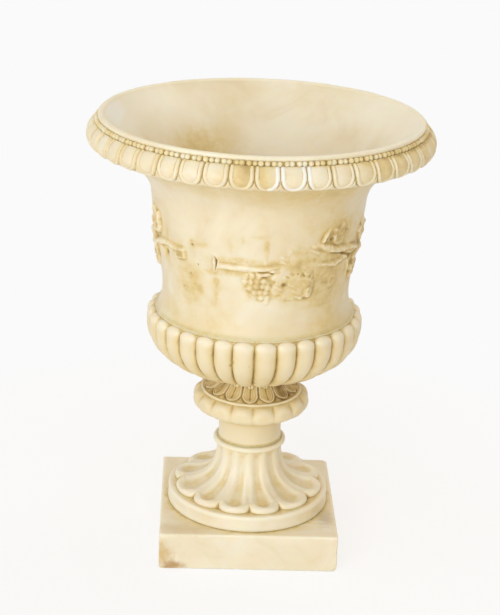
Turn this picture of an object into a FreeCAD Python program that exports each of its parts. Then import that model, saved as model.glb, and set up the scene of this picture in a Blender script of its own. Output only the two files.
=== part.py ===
import FreeCAD, Part
import math
import os

import Sketcher
from FreeCAD import Placement, Rotation, Vector

# Campana urn carved in alabaster, 300 mm high, in six stones: a square plinth, a fluted foot, a lobed
# collar, a gadrooned bowl, a bell and a flared rim carved with eggs. An iron rod runs up the axis from a nut
# in the plinth's underside to a nut in the bottom of the bowl, and leather keeps the iron off the soft stone.
# Millimetres, +Z up. The origin is the middle of the plinth's underside, and the front of the urn faces -Y.

SIZES = {
    # Plinth
    "plinth_side": 120.0,
    "plinth_height": 26.0,
    "plinth_edge_round": 0.7,
    "nut_recess_gap": 2.0,
    "nut_recess_spare": 0.9,
    # Foot
    "foot_height": 47.1,
    "foot_disc_radius": 55.2,
    "foot_disc_height": 11.0,
    "foot_disc_edge_round": 0.9,
    "petal_count": 12,
    "petal_set_back": 4.3,
    "petal_lip": 6.9,
    "petal_height": 4.3,
    "petal_notch_depth": 3.8,
    "trumpet_waist_radius": 21.6,
    "trumpet_knee_reach_share": 0.25,
    "trumpet_knee_rise_share": 0.27,
    "trumpet_skirt_bow": 1.8,
    "trumpet_stem_bow": 1.7,
    "flute_set_back": 3.0,
    "flute_end_width": 11.0,
    "flute_end_depth": 2.6,
    "flute_top_width": 7.0,
    "flute_top_depth": 1.3,
    "astragal_swell": 2.7,
    "astragal_height": 3.6,
    # Collar
    "collar_height": 48.9,
    "neck_radius": 21.4,
    "neck_height": 22.2,
    "collar_lobe_count": 16,
    "collar_edge_radius": 39.5,
    "collar_lobe_swell": 8.5,
    "collar_lobe_height": 12.4,
    "collar_notch_depth": 2.4,
    "collar_fillet_set_back": 6.1,
    "collar_fillet_height": 1.3,
    "collar_fillet_width": 1.3,
    "collar_slope_bow": 2.6,
    "collar_seat_radius": 20.0,
    "collar_seat_height": 1.6,
    # Bowl
    "bowl_height": 46.3,
    "gadroon_count": 32,
    "bowl_belly_radius": 72.2,
    "bowl_belly_depth": 36.8,
    "gadroon_shoulder": 5.4,
    "gadroon_depth_share": 0.027,
    "bowl_wall": 17.9,
    "bowl_floor_share": 0.63,
    "bowl_floor_thickness": 12.5,
    "bowl_hollow_bow": 2.0,
    # Bell
    "bell_height": 81.7,
    "bell_set_back": 6.7,
    "bell_waist_set_back": 3.3,
    "bell_waist_height": 13.7,
    "bell_waist_bow": 1.1,
    "bell_middle_spread": 4.4,
    "bell_middle_height": 47.0,
    "bell_middle_bow": 1.0,
    "bell_shoulder_spread": 4.3,
    "bell_wall": 8.5,
    # Rim
    "rim_height": 50.0,
    "egg_count": 45,
    "egg_edge_radius": 113.4,
    "egg_swell": 13.4,
    "egg_notch_depth": 1.8,
    "egg_band_height": 14.5,
    "rim_turn": -2.0,
    "cove_set_back": 12.9,
    "cove_bow": 6.6,
    "bead_ring_set_back": 6.8,
    "bead_ring_height": 3.2,
    "bead_ring_bow": 1.1,
    "lip_set_back": 8.6,
    "lip_height": 2.8,
    "lip_round": 0.9,
    "lip_width": 2.5,
    "throat_spread": 14.3,
    "throat_drop": 13.5,
    "throat_bow": 5.2,
    "mouth_bow": 0.8,
    # Spigots and sockets
    "stem_spigot_radius": 12.0,
    "foot_spigot_radius": 18.0,
    "spigot_height": 4.0,
    "bell_spigot_width": 4.9,
    "bell_spigot_height": 5.0,
    "rim_spigot_width": 3.6,
    "rim_spigot_height": 3.0,
    "spigot_gap": 0.3,
    "spigot_end_gap": 0.5,
    # Ironwork and leather
    "rod_radius": 4.0,
    "rod_bore_gap": 0.6,
    "rod_end_bevel": 0.8,
    "rod_end_stand": 2.0,
    "nut_flats": 13.0,
    "nut_height": 6.5,
    "nut_bevel": 0.7,
    "thread_gap": 0.1,
    "washer_radius": 12.0,
    "washer_thickness": 1.6,
    "leather_margin": 2.0,
    "leather_thickness": 2.0,
    # One allowance lets every cut run out past the face it opens in.
    "overrun": 3.0,
}

# Where the belly, the shoulder and the other lobed rings are cut by level sections, counted per ring.
BELLY_SECTIONS = 7
SHOULDER_SECTIONS = 4
RING_SECTIONS = 6

# A lobed ring swells as part of an ellipse: where it starts and ends, in degrees from straight down.
PETAL_TURNS = (56.0, 160.0)
COLLAR_TURNS = (20.0, 160.0)
EGG_TURNS = (17.0, 151.0)

# Down a flute, from the middle of its round end on the petal to the astragal: the shares of the way in and of
# the way up that its centre line has run, and how much of its radius's change is behind it.
FLUTE_RUN_SHARES = (
    (0.0, 0.0, 0.0),
    (0.554, 0.155, 0.45),
    (0.854, 0.405, 0.8),
    (1.0, 1.0, 1.0),
)

# How far each of those sections leans from level, in degrees
FLUTE_LEANS = (-90.0, -60.0, -21.0, 0.0)

# An arc over an eased right-angled corner stands off its chord by this share of the easing.
EASED_CORNER_SHARE = 1 - math.sqrt(0.5)

doc = FreeCAD.newDocument("campana_urn")
sheet = doc.addObject("Spreadsheet::Sheet", "Sizes")
for row, (alias, amount) in enumerate(SIZES.items(), start=1):
    sheet.set(f"A{row}", alias)
    sheet.set(f"B{row}", str(amount))
    sheet.setAlias(f"B{row}", alias)
doc.recompute()


class Size:
    """A size of the sheet, or one worked out from such sizes, with the formula that binds it."""

    def __init__(self, value, formula):
        self.value = value
        self.formula = formula

    @staticmethod
    def of(other):
        return other if isinstance(other, Size) else Size(other, str(other))

    def joined(self, other, sign, value):
        return Size(value, f"({self.formula} {sign} {other.formula})")

    def __add__(self, other):
        other = Size.of(other)
        return self.joined(other, "+", self.value + other.value)

    def __sub__(self, other):
        other = Size.of(other)
        return self.joined(other, "-", self.value - other.value)

    def __mul__(self, other):
        other = Size.of(other)
        return self.joined(other, "*", self.value * other.value)

    def __truediv__(self, other):
        other = Size.of(other)
        return self.joined(other, "/", self.value / other.value)

    def __rmul__(self, number):
        return Size.of(number) * self

    def __rsub__(self, number):
        return Size.of(number) - self

    def root(self):
        return Size(math.sqrt(self.value), f"sqrt({self.formula})")


def size(alias):
    """The size kept in the sheet under this name."""
    return Size(float(sheet.get(alias)), f"Sizes.{alias}")


ZERO = Size(0.0, "0")
HALF_TURN = Size(180.0, "180")


def between(low, high, share):
    """The size that lies this share of the way from low to high."""
    return low + share * (high - low)


def bind(item, prop, quantity):
    """Bind one property of an object to the sheet."""
    item.setExpression(prop, quantity.formula)


def origin_plane(body, role):
    """The origin plane or axis of a body that plays this role."""
    return next(feature for feature in body.Origin.OriginFeatures if feature.Role == role)


def new_body(label, level, turn=ZERO):
    """A body whose own zero level is the seat of the piece, raised to its level and turned about the axis."""
    body = doc.addObject("PartDesign::Body", label)
    body.Label = label
    body.Placement = Placement(Vector(0, 0, level.value), Rotation(Vector(0, 0, 1), turn.value))
    bind(body, "Placement.Base.z", level)
    bind(body, "Placement.Rotation.Angle", turn)
    return body


def out(bow):
    """The edge after this corner bows away from the inside of the outline."""
    return 1, bow


def inward(bow):
    """The edge after this corner bows towards the inside of the outline."""
    return -1, bow


def arc_radius(start, end, bow):
    """Radius of the arc between two corners that stands off their chord by the bow."""
    across = end[0] - start[0]
    along = end[1] - start[1]
    return ((across * across + along * along) / 4 + bow * bow) / (2 * bow)


def arc_edge(start, end, side, bow):
    """The arc between two corners, run anticlockwise as a sketch keeps it."""
    first = Vector(start[0].value, start[1].value, 0)
    last = Vector(end[0].value, end[1].value, 0)
    radius = arc_radius(start, end, bow).value
    chord = last - first
    left = Vector(-chord.y, chord.x, 0).normalize()
    centre = (first + last) / 2 + left * (side * (radius - bow.value))
    ends = (first, last) if side > 0 else (last, first)
    turns = [math.atan2(point.y - centre.y, point.x - centre.x) for point in ends]
    return Part.ArcOfCircle(Part.Circle(centre, Vector(0, 0, 1), radius), *turns)


def new_sketch(body, name, role):
    """An empty sketch on one of the body's own origin planes."""
    sketch = body.newObject("Sketcher::SketchObject", name)
    sketch.AttachmentSupport = [(origin_plane(body, role), "")]
    sketch.MapMode = "FlatFace"
    return sketch


def hold(sketch, kind, name, quantity, *where):
    """Add a dimension to a sketch and bind it to the sheet."""
    index = sketch.addConstraint(Sketcher.Constraint(kind, *where, quantity.value))
    sketch.renameConstraint(index, name)
    bind(sketch, f"Constraints.{name}", quantity)


def place_corner(sketch, name, edge, end, corner):
    """Fix one corner by its distances from the sketch's axes."""
    root, root_point, level_axis, upright_axis = -1, 1, -1, -2
    for kind, letter, axis, quantity in (
        ("DistanceX", "x", upright_axis, corner[0]),
        ("DistanceY", "y", level_axis, corner[1]),
    ):
        if quantity is ZERO:
            sketch.addConstraint(Sketcher.Constraint("PointOnObject", edge, end, axis))
        else:
            hold(sketch, kind, f"{name}_{letter}", quantity, root, root_point, edge, end)


def outline(body, name, corners, role="XZ_Plane"):
    """A closed sketch through the corners, run anticlockwise; a corner may say how the edge after it bows."""
    sketch = new_sketch(body, name, role)
    ends = []
    loop = list(zip(corners, corners[1:] + corners[:1]))
    for start, end in loop:
        if len(start) == 3:
            side, bow = start[2]
            sketch.addGeometry(arc_edge(start, end, side, bow), False)
            ends.append((1, 2) if side > 0 else (2, 1))
        else:
            points = [Vector(corner[0].value, corner[1].value, 0) for corner in (start, end)]
            sketch.addGeometry(Part.LineSegment(*points), False)
            ends.append((1, 2))
    for edge in range(len(loop)):
        after = (edge + 1) % len(loop)
        sketch.addConstraint(
            Sketcher.Constraint("Coincident", edge, ends[edge][1], after, ends[after][0])
        )
    for edge, (start, end) in enumerate(loop):
        place_corner(sketch, f"corner{edge}", edge, ends[edge][0], start)
        if len(start) == 3:
            hold(sketch, "Radius", f"radius{edge}", arc_radius(start, end, start[2][1]), edge)
    return sketch


def revolve(body, name, kind, corners):
    """Turn a closed outline once round the axis, to add stone or to cut it."""
    feature = body.newObject(f"PartDesign::{kind}", name)
    sketch = outline(body, f"{name}_outline", corners)
    feature.Profile = sketch
    feature.ReferenceAxis = (sketch, ["V_Axis"])
    body.Tip = feature
    return feature


def repeat_round(body, name, features, count):
    """Repeat features evenly round the axis."""
    pattern = body.newObject("PartDesign::PolarPattern", name)
    pattern.Originals = features
    pattern.Axis = (origin_plane(body, "Z_Axis"), [""])
    bind(pattern, "Occurrences", count)
    body.Tip = pattern
    return pattern


def lobed_solid(name, sections, count):
    """A solid lofted through level rings of equal arcs, with the middle of the first arc on +X.

    A section gives its level, the radius of the arcs' crowns and the radius of the notches between them.
    """
    pitch = 2 * math.pi / count

    def point(radius, pitches, level):
        turn = pitches * pitch
        return Vector(radius * math.cos(turn), radius * math.sin(turn), level)

    rings = []
    for level, crown, notch in sections:
        arcs = []
        for lobe in range(count):
            start = point(notch, lobe - 0.5, level)
            middle = point(crown, lobe, level)
            end = point(notch, lobe + 0.5, level)
            arcs.append(Part.Arc(start, middle, end).toShape())
        rings.append(Part.Wire(arcs))
    feature = doc.addObject("Part::Feature", name)
    feature.Shape = Part.makeLoft(rings, True, False)
    return feature


def ring_sections(root, edge, bottom, top, turns, depth):
    """Sections of a lobed ring that swells from root to edge as part of an ellipse between two levels."""
    first, last = (math.radians(turn) for turn in turns)
    half_height = (top.value - bottom.value) / (math.cos(first) - math.cos(last))
    middle = bottom.value + half_height * math.cos(first)
    sections = []
    for step in range(RING_SECTIONS + 1):
        turn = first + (last - first) * step / RING_SECTIONS
        crown = root.value + (edge.value - root.value) * math.sin(turn)
        sections.append((middle - half_height * math.cos(turn), crown, crown - depth.value))
    return sections


# Levels of the seats, from the ground up
foot_level = size("plinth_height")
collar_level = foot_level + size("foot_height")
bowl_level = collar_level + size("collar_height")
bell_level = bowl_level + size("bowl_height")
rim_level = bell_level + size("bell_height")

# Radii and heights that more than one feature shares
petal_radius = size("foot_disc_radius") - size("petal_set_back")
rod_bore = size("rod_radius") + size("rod_bore_gap")
foot_socket = size("foot_spigot_radius") + size("spigot_gap")
stem_socket = size("stem_spigot_radius") + size("spigot_gap")
socket_depth = size("spigot_height") + size("spigot_end_gap")
spigot_end = ZERO - size("spigot_height")
bowl_hollow = size("bowl_belly_radius") - size("bowl_wall")
bell_spigot = bowl_hollow + size("bell_spigot_width")
bell_seat = size("bowl_belly_radius") - size("bell_set_back")
bell_waist = bell_seat - size("bell_waist_set_back")
bell_middle = bell_waist + size("bell_middle_spread")
bell_shoulder = bell_middle + size("bell_shoulder_spread")
bell_mouth = bell_shoulder - size("bell_wall")
rim_spigot = bell_mouth + size("rim_spigot_width")
leather_radius = size("washer_radius") + size("leather_margin")
fastening_height = (
    size("leather_thickness") + size("washer_thickness") + size("nut_height") + size("rod_end_stand")
)
nut_recess_depth = fastening_height + size("nut_recess_spare")


def add_rod_way(body, low, high, low_radius=None, low_depth=None, high_radius=None, high_depth=None):
    """Bore a stone for the rod from low to high, with a wider socket or recess at either end."""
    over = size("overrun")
    corners = [(ZERO, low - over)]
    if low_radius:
        floor = low + low_depth
        corners += [(low_radius, low - over), (low_radius, floor), (rod_bore, floor)]
    else:
        corners += [(rod_bore, low - over)]
    if high_radius:
        floor = high - high_depth
        corners += [(rod_bore, floor), (high_radius, floor), (high_radius, high + over)]
    else:
        corners += [(rod_bore, high + over)]
    corners += [(ZERO, high + over)]
    return revolve(body, "rod_way", "Groove", corners)


def build_plinth():
    """Square block with softened edges, a socket for the foot and a recess below for the nut."""
    body = new_body("plinth", ZERO)
    half = size("plinth_side") / 2
    edge = ZERO - half
    height = size("plinth_height")
    block = body.newObject("PartDesign::Pad", "block")
    block.Profile = outline(
        body, "square", [(edge, edge), (half, edge), (half, half), (edge, half)], "XY_Plane"
    )
    bind(block, "Length", height)
    body.Tip = block
    doc.recompute()
    softened = body.newObject("PartDesign::Fillet", "softened_edges")
    softened.Base = (block, ["Edge1"])
    softened.UseAllEdges = True
    bind(softened, "Radius", size("plinth_edge_round"))
    body.Tip = softened
    recess = leather_radius + size("nut_recess_gap")
    add_rod_way(body, ZERO, height, recess, nut_recess_depth, foot_socket, socket_depth)
    return body


def flute_radius(end):
    """Radius of the round section that cuts a flute of the width and depth it has at this end."""
    width = size(f"flute_{end}_width")
    depth = size(f"flute_{end}_depth")
    return (width * width / 4 + depth * depth) / (2 * depth)


def flute_section(body, name, run_shares, lean):
    """One round section of a flute, set square to its run down the trumpet."""
    end_radius = flute_radius("end")
    top_radius = flute_radius("top")
    end_reach = petal_radius - size("petal_lip") - size("flute_set_back")
    end_level = size("foot_disc_height") + size("petal_height") + end_radius - size("flute_end_depth")
    top_reach = size("trumpet_waist_radius") + top_radius - size("flute_top_depth")
    top_level = size("foot_height") - size("astragal_height")
    in_share, up_share, radius_share = run_shares
    reach = between(end_reach, top_reach, in_share)
    level = between(end_level, top_level, up_share)
    sketch = new_sketch(body, name, "XY_Plane")
    sketch.AttachmentOffset = Placement(Vector(reach.value, 0, level.value), Rotation(Vector(0, 1, 0), lean))
    bind(sketch, "AttachmentOffset.Base.x", reach)
    bind(sketch, "AttachmentOffset.Base.z", level)
    radius = between(end_radius, top_radius, radius_share)
    sketch.addGeometry(Part.Circle(Vector(0, 0, 0), Vector(0, 0, 1), radius.value), False)
    sketch.addConstraint(Sketcher.Constraint("Coincident", 0, 3, -1, 1))
    hold(sketch, "Radius", "radius", radius, 0)
    return sketch


def cut_flutes(body):
    """Cut one flute down the trumpet, with a round end in its petal, and repeat it for every petal."""
    sections = [
        flute_section(body, f"flute_section_{number}", run_shares, lean)
        for number, (run_shares, lean) in enumerate(zip(FLUTE_RUN_SHARES, FLUTE_LEANS), start=1)
    ]
    run = body.newObject("PartDesign::SubtractiveLoft", "flute_run")
    run.Profile = sections[0]
    run.Sections = sections[1:]
    body.Tip = run
    end = body.newObject("PartDesign::SubtractiveSphere", "flute_end")
    bind(end, "Radius", flute_radius("end"))
    end.AttachmentSupport = [(origin_plane(body, "XY_Plane"), "")]
    end.MapMode = "FlatFace"
    end.AttachmentOffset = sections[0].AttachmentOffset
    for side in ("x", "z"):
        end.setExpression(f"AttachmentOffset.Base.{side}", f"{sections[0].Name}.AttachmentOffset.Base.{side}")
    body.Tip = end
    repeat_round(body, "flutes", [run, end], size("petal_count"))


def build_foot():
    """Round disc, a ring of petals, a trumpet stem with a flute down each petal, and an astragal on top."""
    disc = size("foot_disc_radius")
    disc_top = size("foot_disc_height")
    ease = size("foot_disc_edge_round")
    root = petal_radius - size("petal_lip")
    petal_top = disc_top + size("petal_height")
    waist = size("trumpet_waist_radius")
    height = size("foot_height")
    ring_bottom = height - size("astragal_height")
    knee_reach = between(waist, root, size("trumpet_knee_reach_share"))
    knee_level = between(petal_top, ring_bottom, size("trumpet_knee_rise_share"))
    spigot = size("foot_spigot_radius")
    petal_depth = size("petal_notch_depth")
    petals = lobed_solid(
        "petals",
        ring_sections(root, petal_radius, disc_top, petal_top, PETAL_TURNS, petal_depth),
        int(size("petal_count").value),
    )
    body = new_body("foot", foot_level, HALF_TURN / size("petal_count"))
    body.BaseFeature = petals
    revolve(
        body,
        "turned_foot",
        "Revolution",
        [
            (ZERO, spigot_end),
            (spigot, spigot_end),
            (spigot, ZERO),
            (disc, ZERO),
            (disc, disc_top - ease, out(EASED_CORNER_SHARE * ease)),
            (disc - ease, disc_top),
            (root, disc_top),
            (root, petal_top, inward(size("trumpet_skirt_bow"))),
            (knee_reach, knee_level, inward(size("trumpet_stem_bow"))),
            (waist, ring_bottom, out(size("astragal_swell"))),
            (waist, height),
            (ZERO, height),
        ],
    )
    cut_flutes(body)
    add_rod_way(body, spigot_end, height, None, None, stem_socket, socket_depth)
    return body


def build_collar():
    """Plain neck drum, a lobed edge, and a hollow slope above a thin ring, up to the bowl's seat."""
    neck = size("neck_radius")
    neck_top = size("neck_height")
    edge = size("collar_edge_radius")
    root = edge - size("collar_lobe_swell")
    lobe_top = neck_top + size("collar_lobe_height")
    fillet = edge - size("collar_fillet_set_back")
    fillet_top = lobe_top + size("collar_fillet_height")
    height = size("collar_height")
    seat = size("collar_seat_radius")
    seat_bottom = height - size("collar_seat_height")
    spigot = size("stem_spigot_radius")
    spigot_top = height + size("spigot_height")
    count = size("collar_lobe_count")
    lobes = lobed_solid(
        "collar_lobes",
        ring_sections(root, edge, neck_top, lobe_top, COLLAR_TURNS, size("collar_notch_depth")),
        int(count.value),
    )
    body = new_body("collar", collar_level, HALF_TURN / count)
    body.BaseFeature = lobes
    revolve(
        body,
        "turned_collar",
        "Revolution",
        [
            (ZERO, spigot_end),
            (spigot, spigot_end),
            (spigot, ZERO),
            (neck, ZERO),
            (neck, neck_top),
            (root, neck_top),
            (root, lobe_top),
            (fillet, lobe_top),
            (fillet, fillet_top),
            (fillet - size("collar_fillet_width"), fillet_top, inward(size("collar_slope_bow"))),
            (seat, seat_bottom),
            (seat, height),
            (spigot, height),
            (spigot, spigot_top),
            (ZERO, spigot_top),
        ],
    )
    add_rod_way(body, spigot_end, spigot_top)
    return body


def bowl_belly_level():
    """Level of the bowl's widest ring above its seat, on the ellipse that its underside follows."""
    seat_share = size("collar_seat_radius") / size("bowl_belly_radius")
    return size("bowl_belly_depth") * (1 - seat_share * seat_share).root()


def gadroon_sections():
    """Sections of the bowl: a quarter of an ellipse from the seat to the belly, then a round shoulder."""
    belly = size("bowl_belly_radius").value
    depth = size("bowl_belly_depth").value
    shoulder = size("gadroon_shoulder").value
    top = size("bowl_height").value
    middle = bowl_belly_level().value
    first = math.asin(size("collar_seat_radius").value / belly)
    outline_points = []
    for step in range(BELLY_SECTIONS + 1):
        turn = first + (math.pi / 2 - first) * step / BELLY_SECTIONS
        outline_points.append((middle - depth * math.cos(turn), belly * math.sin(turn)))
    for step in range(SHOULDER_SECTIONS + 1):
        turn = math.pi / 2 * step / SHOULDER_SECTIONS
        outline_points.append(
            (top - shoulder + shoulder * math.sin(turn), belly - shoulder + shoulder * math.cos(turn))
        )
    notch_share = 1 - size("gadroon_depth_share").value
    return [(level, crown, crown * notch_share) for level, crown in outline_points]


def build_bowl():
    """Gadrooned bowl, hollow inside, with a rebate at its mouth for the bell's spigot."""
    count = size("gadroon_count")
    gadroons = lobed_solid("gadroons", gadroon_sections(), int(count.value))
    body = new_body("bowl", bowl_level, HALF_TURN / count)
    body.BaseFeature = gadroons
    height = size("bowl_height")
    over = size("overrun")
    floor = size("bowl_floor_thickness")
    rebate = bell_spigot + size("spigot_gap")
    rebate_floor = height - size("bell_spigot_height") - size("spigot_end_gap")
    revolve(
        body,
        "bowl_hollow",
        "Groove",
        [
            (ZERO, floor),
            (bowl_hollow * size("bowl_floor_share"), floor, out(size("bowl_hollow_bow"))),
            (bowl_hollow, rebate_floor),
            (rebate, rebate_floor),
            (rebate, height + over),
            (ZERO, height + over),
        ],
    )
    add_rod_way(body, ZERO, floor, stem_socket, socket_depth)
    return body


def build_bell():
    """Bell with a slight waist, a spigot for the bowl below it and a rebate for the rim in its top."""
    height = size("bell_height")
    over = size("overrun")
    wall = size("bell_wall")
    spigot_low = ZERO - size("bell_spigot_height")
    body = new_body("bell", bell_level)
    revolve(
        body,
        "turned_bell",
        "Revolution",
        [
            (ZERO, spigot_low),
            (bell_spigot, spigot_low),
            (bell_spigot, ZERO),
            (bell_seat, ZERO, inward(size("bell_waist_bow"))),
            (bell_waist, size("bell_waist_height"), inward(size("bell_middle_bow"))),
            (bell_middle, size("bell_middle_height")),
            (bell_shoulder, height),
            (ZERO, height),
        ],
    )
    rebate = rim_spigot + size("spigot_gap")
    rebate_floor = height - size("rim_spigot_height") - size("spigot_end_gap")
    revolve(
        body,
        "bell_hollow",
        "Groove",
        [
            (ZERO, spigot_low - over),
            (bowl_hollow, spigot_low - over),
            (bowl_hollow, ZERO),
            (bell_waist - wall, size("bell_waist_height"), inward(size("bell_middle_bow"))),
            (bell_middle - wall, size("bell_middle_height")),
            (bell_mouth, rebate_floor),
            (rebate, rebate_floor),
            (rebate, height + over),
            (ZERO, height + over),
        ],
    )
    return body


def build_rim():
    """Flared rim: a cove under a band of eggs, a bead ring, a flat lip and a funnel mouth."""
    height = size("rim_height")
    lip_bottom = height - size("lip_height")
    bead_bottom = lip_bottom - size("bead_ring_height")
    egg_bottom = bead_bottom - size("egg_band_height")
    edge = size("egg_edge_radius")
    root = edge - size("egg_swell")
    cove = edge - size("cove_set_back")
    bead_ring = edge - size("bead_ring_set_back")
    lip = edge - size("lip_set_back")
    mouth = lip - size("lip_width")
    throat = mouth - size("throat_spread")
    ease = size("lip_round")
    spigot_low = ZERO - size("rim_spigot_height")
    eggs = lobed_solid(
        "eggs",
        ring_sections(root, edge, egg_bottom, bead_bottom, EGG_TURNS, size("egg_notch_depth")),
        int(size("egg_count").value),
    )
    body = new_body("rim", rim_level, size("rim_turn"))
    body.BaseFeature = eggs
    revolve(
        body,
        "turned_rim",
        "Revolution",
        [
            (ZERO, spigot_low),
            (rim_spigot, spigot_low),
            (rim_spigot, ZERO),
            (bell_shoulder, ZERO, inward(size("cove_bow"))),
            (cove, egg_bottom),
            (cove, bead_bottom),
            (bead_ring, bead_bottom, out(size("bead_ring_bow"))),
            (lip, lip_bottom),
            (lip, height - ease, out(EASED_CORNER_SHARE * ease)),
            (lip - ease, height),
            (ZERO, height),
        ],
    )
    over = size("overrun")
    revolve(
        body,
        "mouth",
        "Groove",
        [
            (ZERO, spigot_low - over),
            (bell_mouth, spigot_low - over),
            (bell_mouth, ZERO, inward(size("throat_bow"))),
            (throat, height - size("throat_drop"), inward(size("mouth_bow"))),
            (mouth, height),
            (mouth, height + over),
            (ZERO, height + over),
        ],
    )
    return body


def build_rod():
    """Iron rod from the plinth to the bowl, bevelled at both ends."""
    low = nut_recess_depth - fastening_height
    high = upper_stack_level() + size("nut_height") + size("rod_end_stand")
    radius = size("rod_radius")
    bevel = size("rod_end_bevel")
    body = new_body("tie_rod", ZERO)
    revolve(
        body,
        "rod",
        "Revolution",
        [
            (ZERO, low),
            (radius - bevel, low),
            (radius, low + bevel),
            (radius, high - bevel),
            (radius - bevel, high),
            (ZERO, high),
        ],
    )
    return body


def upper_stack_level():
    """Level on which the upper nut sits, above the leather and the washer on the bowl's floor."""
    floor = bowl_level + size("bowl_floor_thickness")
    return floor + size("leather_thickness") + size("washer_thickness")


def build_nut(label, level):
    """Six-sided nut with bevelled corners, bored for the rod."""
    body = new_body(label, level)
    height = size("nut_height")
    bevel = size("nut_bevel")
    inner = size("nut_flats") / 2
    corner = size("nut_flats") / math.sqrt(3)
    hexagon = body.newObject("PartDesign::AdditivePrism", "hexagon")
    hexagon.Polygon = 6
    bind(hexagon, "Circumradius", corner)
    bind(hexagon, "Height", height)
    body.Tip = hexagon
    over = size("overrun")
    outer = corner + over
    rise = (outer - inner) * (bevel / (corner - inner))
    for name, base, side in (("lower_bevel", ZERO, 1), ("upper_bevel", height, -1)):
        corners = [(inner, base), (outer, base), (outer, base + side * rise)]
        revolve(body, name, "Groove", corners if side > 0 else corners[::-1])
    bore = size("rod_radius") + size("thread_gap")
    revolve(
        body,
        "bore",
        "Groove",
        [(ZERO, ZERO - over), (bore, ZERO - over), (bore, height + over), (ZERO, height + over)],
    )
    return body


def build_washer(label, level, radius, thickness):
    """Flat washer with a hole that clears the rod."""
    body = new_body(label, level)
    revolve(
        body,
        "disc",
        "Revolution",
        [(rod_bore, ZERO), (radius, ZERO), (radius, thickness), (rod_bore, thickness)],
    )
    return body


def build_fastenings():
    """Nut, iron washer and leather washer at each end of the rod."""
    iron = size("washer_thickness")
    leather = size("leather_thickness")
    bowl_floor = bowl_level + size("bowl_floor_thickness")
    return [
        build_washer("lower_leather_washer", nut_recess_depth - leather, leather_radius, leather),
        build_washer("lower_washer", nut_recess_depth - leather - iron, size("washer_radius"), iron),
        build_nut("lower_nut", nut_recess_depth - leather - iron - size("nut_height")),
        build_washer("upper_leather_washer", bowl_floor, leather_radius, leather),
        build_washer("upper_washer", bowl_floor + leather, size("washer_radius"), iron),
        build_nut("upper_nut", upper_stack_level()),
    ]


pieces = [
    build_plinth(),
    build_foot(),
    build_collar(),
    build_bowl(),
    build_bell(),
    build_rim(),
    build_rod(),
    *build_fastenings(),
]
doc.recompute()

for item in doc.Objects:
    if "Invalid" in item.State or "Error" in item.State:
        raise RuntimeError(f"{item.Label} failed: {item.State}")

os.makedirs("parts", exist_ok=True)
for piece in pieces:
    shape = piece.Shape
    if shape.isNull() or not shape.isValid():
        raise RuntimeError(f"{piece.Label} has no valid shape")
    shape.exportStep(f"parts/{piece.Label}.step")
    print(f"{piece.Label}: {len(shape.Solids)} solid, {len(shape.Faces)} faces, {shape.Volume:.0f} mm3")
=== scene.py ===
"""Looks of a campana urn carved in alabaster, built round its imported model."""

import itertools
import math

import bpy
import numpy as np
from mathutils import Matrix, Vector


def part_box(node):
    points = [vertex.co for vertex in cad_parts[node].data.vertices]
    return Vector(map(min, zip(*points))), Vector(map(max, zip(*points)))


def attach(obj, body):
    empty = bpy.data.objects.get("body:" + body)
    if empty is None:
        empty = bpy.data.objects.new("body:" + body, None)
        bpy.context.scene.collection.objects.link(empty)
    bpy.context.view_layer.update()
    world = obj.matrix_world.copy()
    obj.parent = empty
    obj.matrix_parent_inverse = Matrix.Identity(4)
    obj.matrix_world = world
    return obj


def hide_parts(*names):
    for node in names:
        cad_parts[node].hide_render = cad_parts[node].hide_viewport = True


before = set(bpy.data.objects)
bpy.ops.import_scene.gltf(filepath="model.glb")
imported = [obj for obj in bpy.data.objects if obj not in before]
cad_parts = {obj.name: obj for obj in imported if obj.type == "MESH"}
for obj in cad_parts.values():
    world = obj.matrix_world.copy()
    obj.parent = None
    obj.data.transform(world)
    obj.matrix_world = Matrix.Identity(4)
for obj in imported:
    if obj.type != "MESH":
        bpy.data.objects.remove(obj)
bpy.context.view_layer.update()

# Sizes below are millimetres, and meshes are written in metres.
MM = 0.001
TURN = 2 * math.pi
FRONT = -math.pi / 2

# Seats between the stones, read from the solids
PLINTH_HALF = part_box("plinth")[1][0] / MM
PLINTH_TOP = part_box("plinth")[1][2] / MM
FOOT_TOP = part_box("foot")[1][2] / MM
BOWL_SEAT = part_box("bowl")[0][2] / MM
BELL_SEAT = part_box("bowl")[1][2] / MM
RIM_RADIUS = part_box("rim")[1][0] / MM
SEATS = (PLINTH_TOP, FOOT_TOP, BOWL_SEAT, BELL_SEAT)
# Half-widths of the bores, and of the spigots that keep the stones in line
ROD_WAY = 4.6
SPIGOT, SOCKET = 12.0, 12.3
FOOT_SPIGOT, FOOT_SOCKET = 18.0, 18.3
BELL_SPIGOT, BELL_SOCKET = 59.2, 59.5
BELL_BORE = 54.3
SPIGOT_END_GAP = 0.5
# Where the spigots under the foot, the collar and the bell end, and where the one on the collar ends
FOOT_SPIGOT_END = PLINTH_TOP - 4.0
COLLAR_SPIGOT_END = 69.1
COLLAR_TOP_END = BOWL_SEAT + 4.0
BELL_SPIGOT_END = BELL_SEAT - 5.0
# The nuts' recess under the plinth, and the bowl's floor
NUT_RECESS_TOP = 13.0
NUT_RECESS = 16.0
BOWL_FLOOR = 134.5


def ease(low, high, value):
    """0 at low, 1 at high, and a smooth step between."""
    share = np.clip((value - low) / (high - low), 0.0, 1.0)
    return share * share * (3 - 2 * share)


def near(value, middle, reach):
    """1 where a value is at the middle, fading out on both sides over this reach."""
    return np.exp(-(((value - middle) / reach) ** 2))


def rounded(away, power):
    """1 at the middle of a round form, 0 from its edge on; a lower power makes it fuller."""
    return np.clip(1 - away, 0, 1) ** power


def bearing(turns):
    """Degrees from the front, from -180 to 180."""
    return np.mod(np.degrees(turns - FRONT) + 180, 360) - 180


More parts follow.
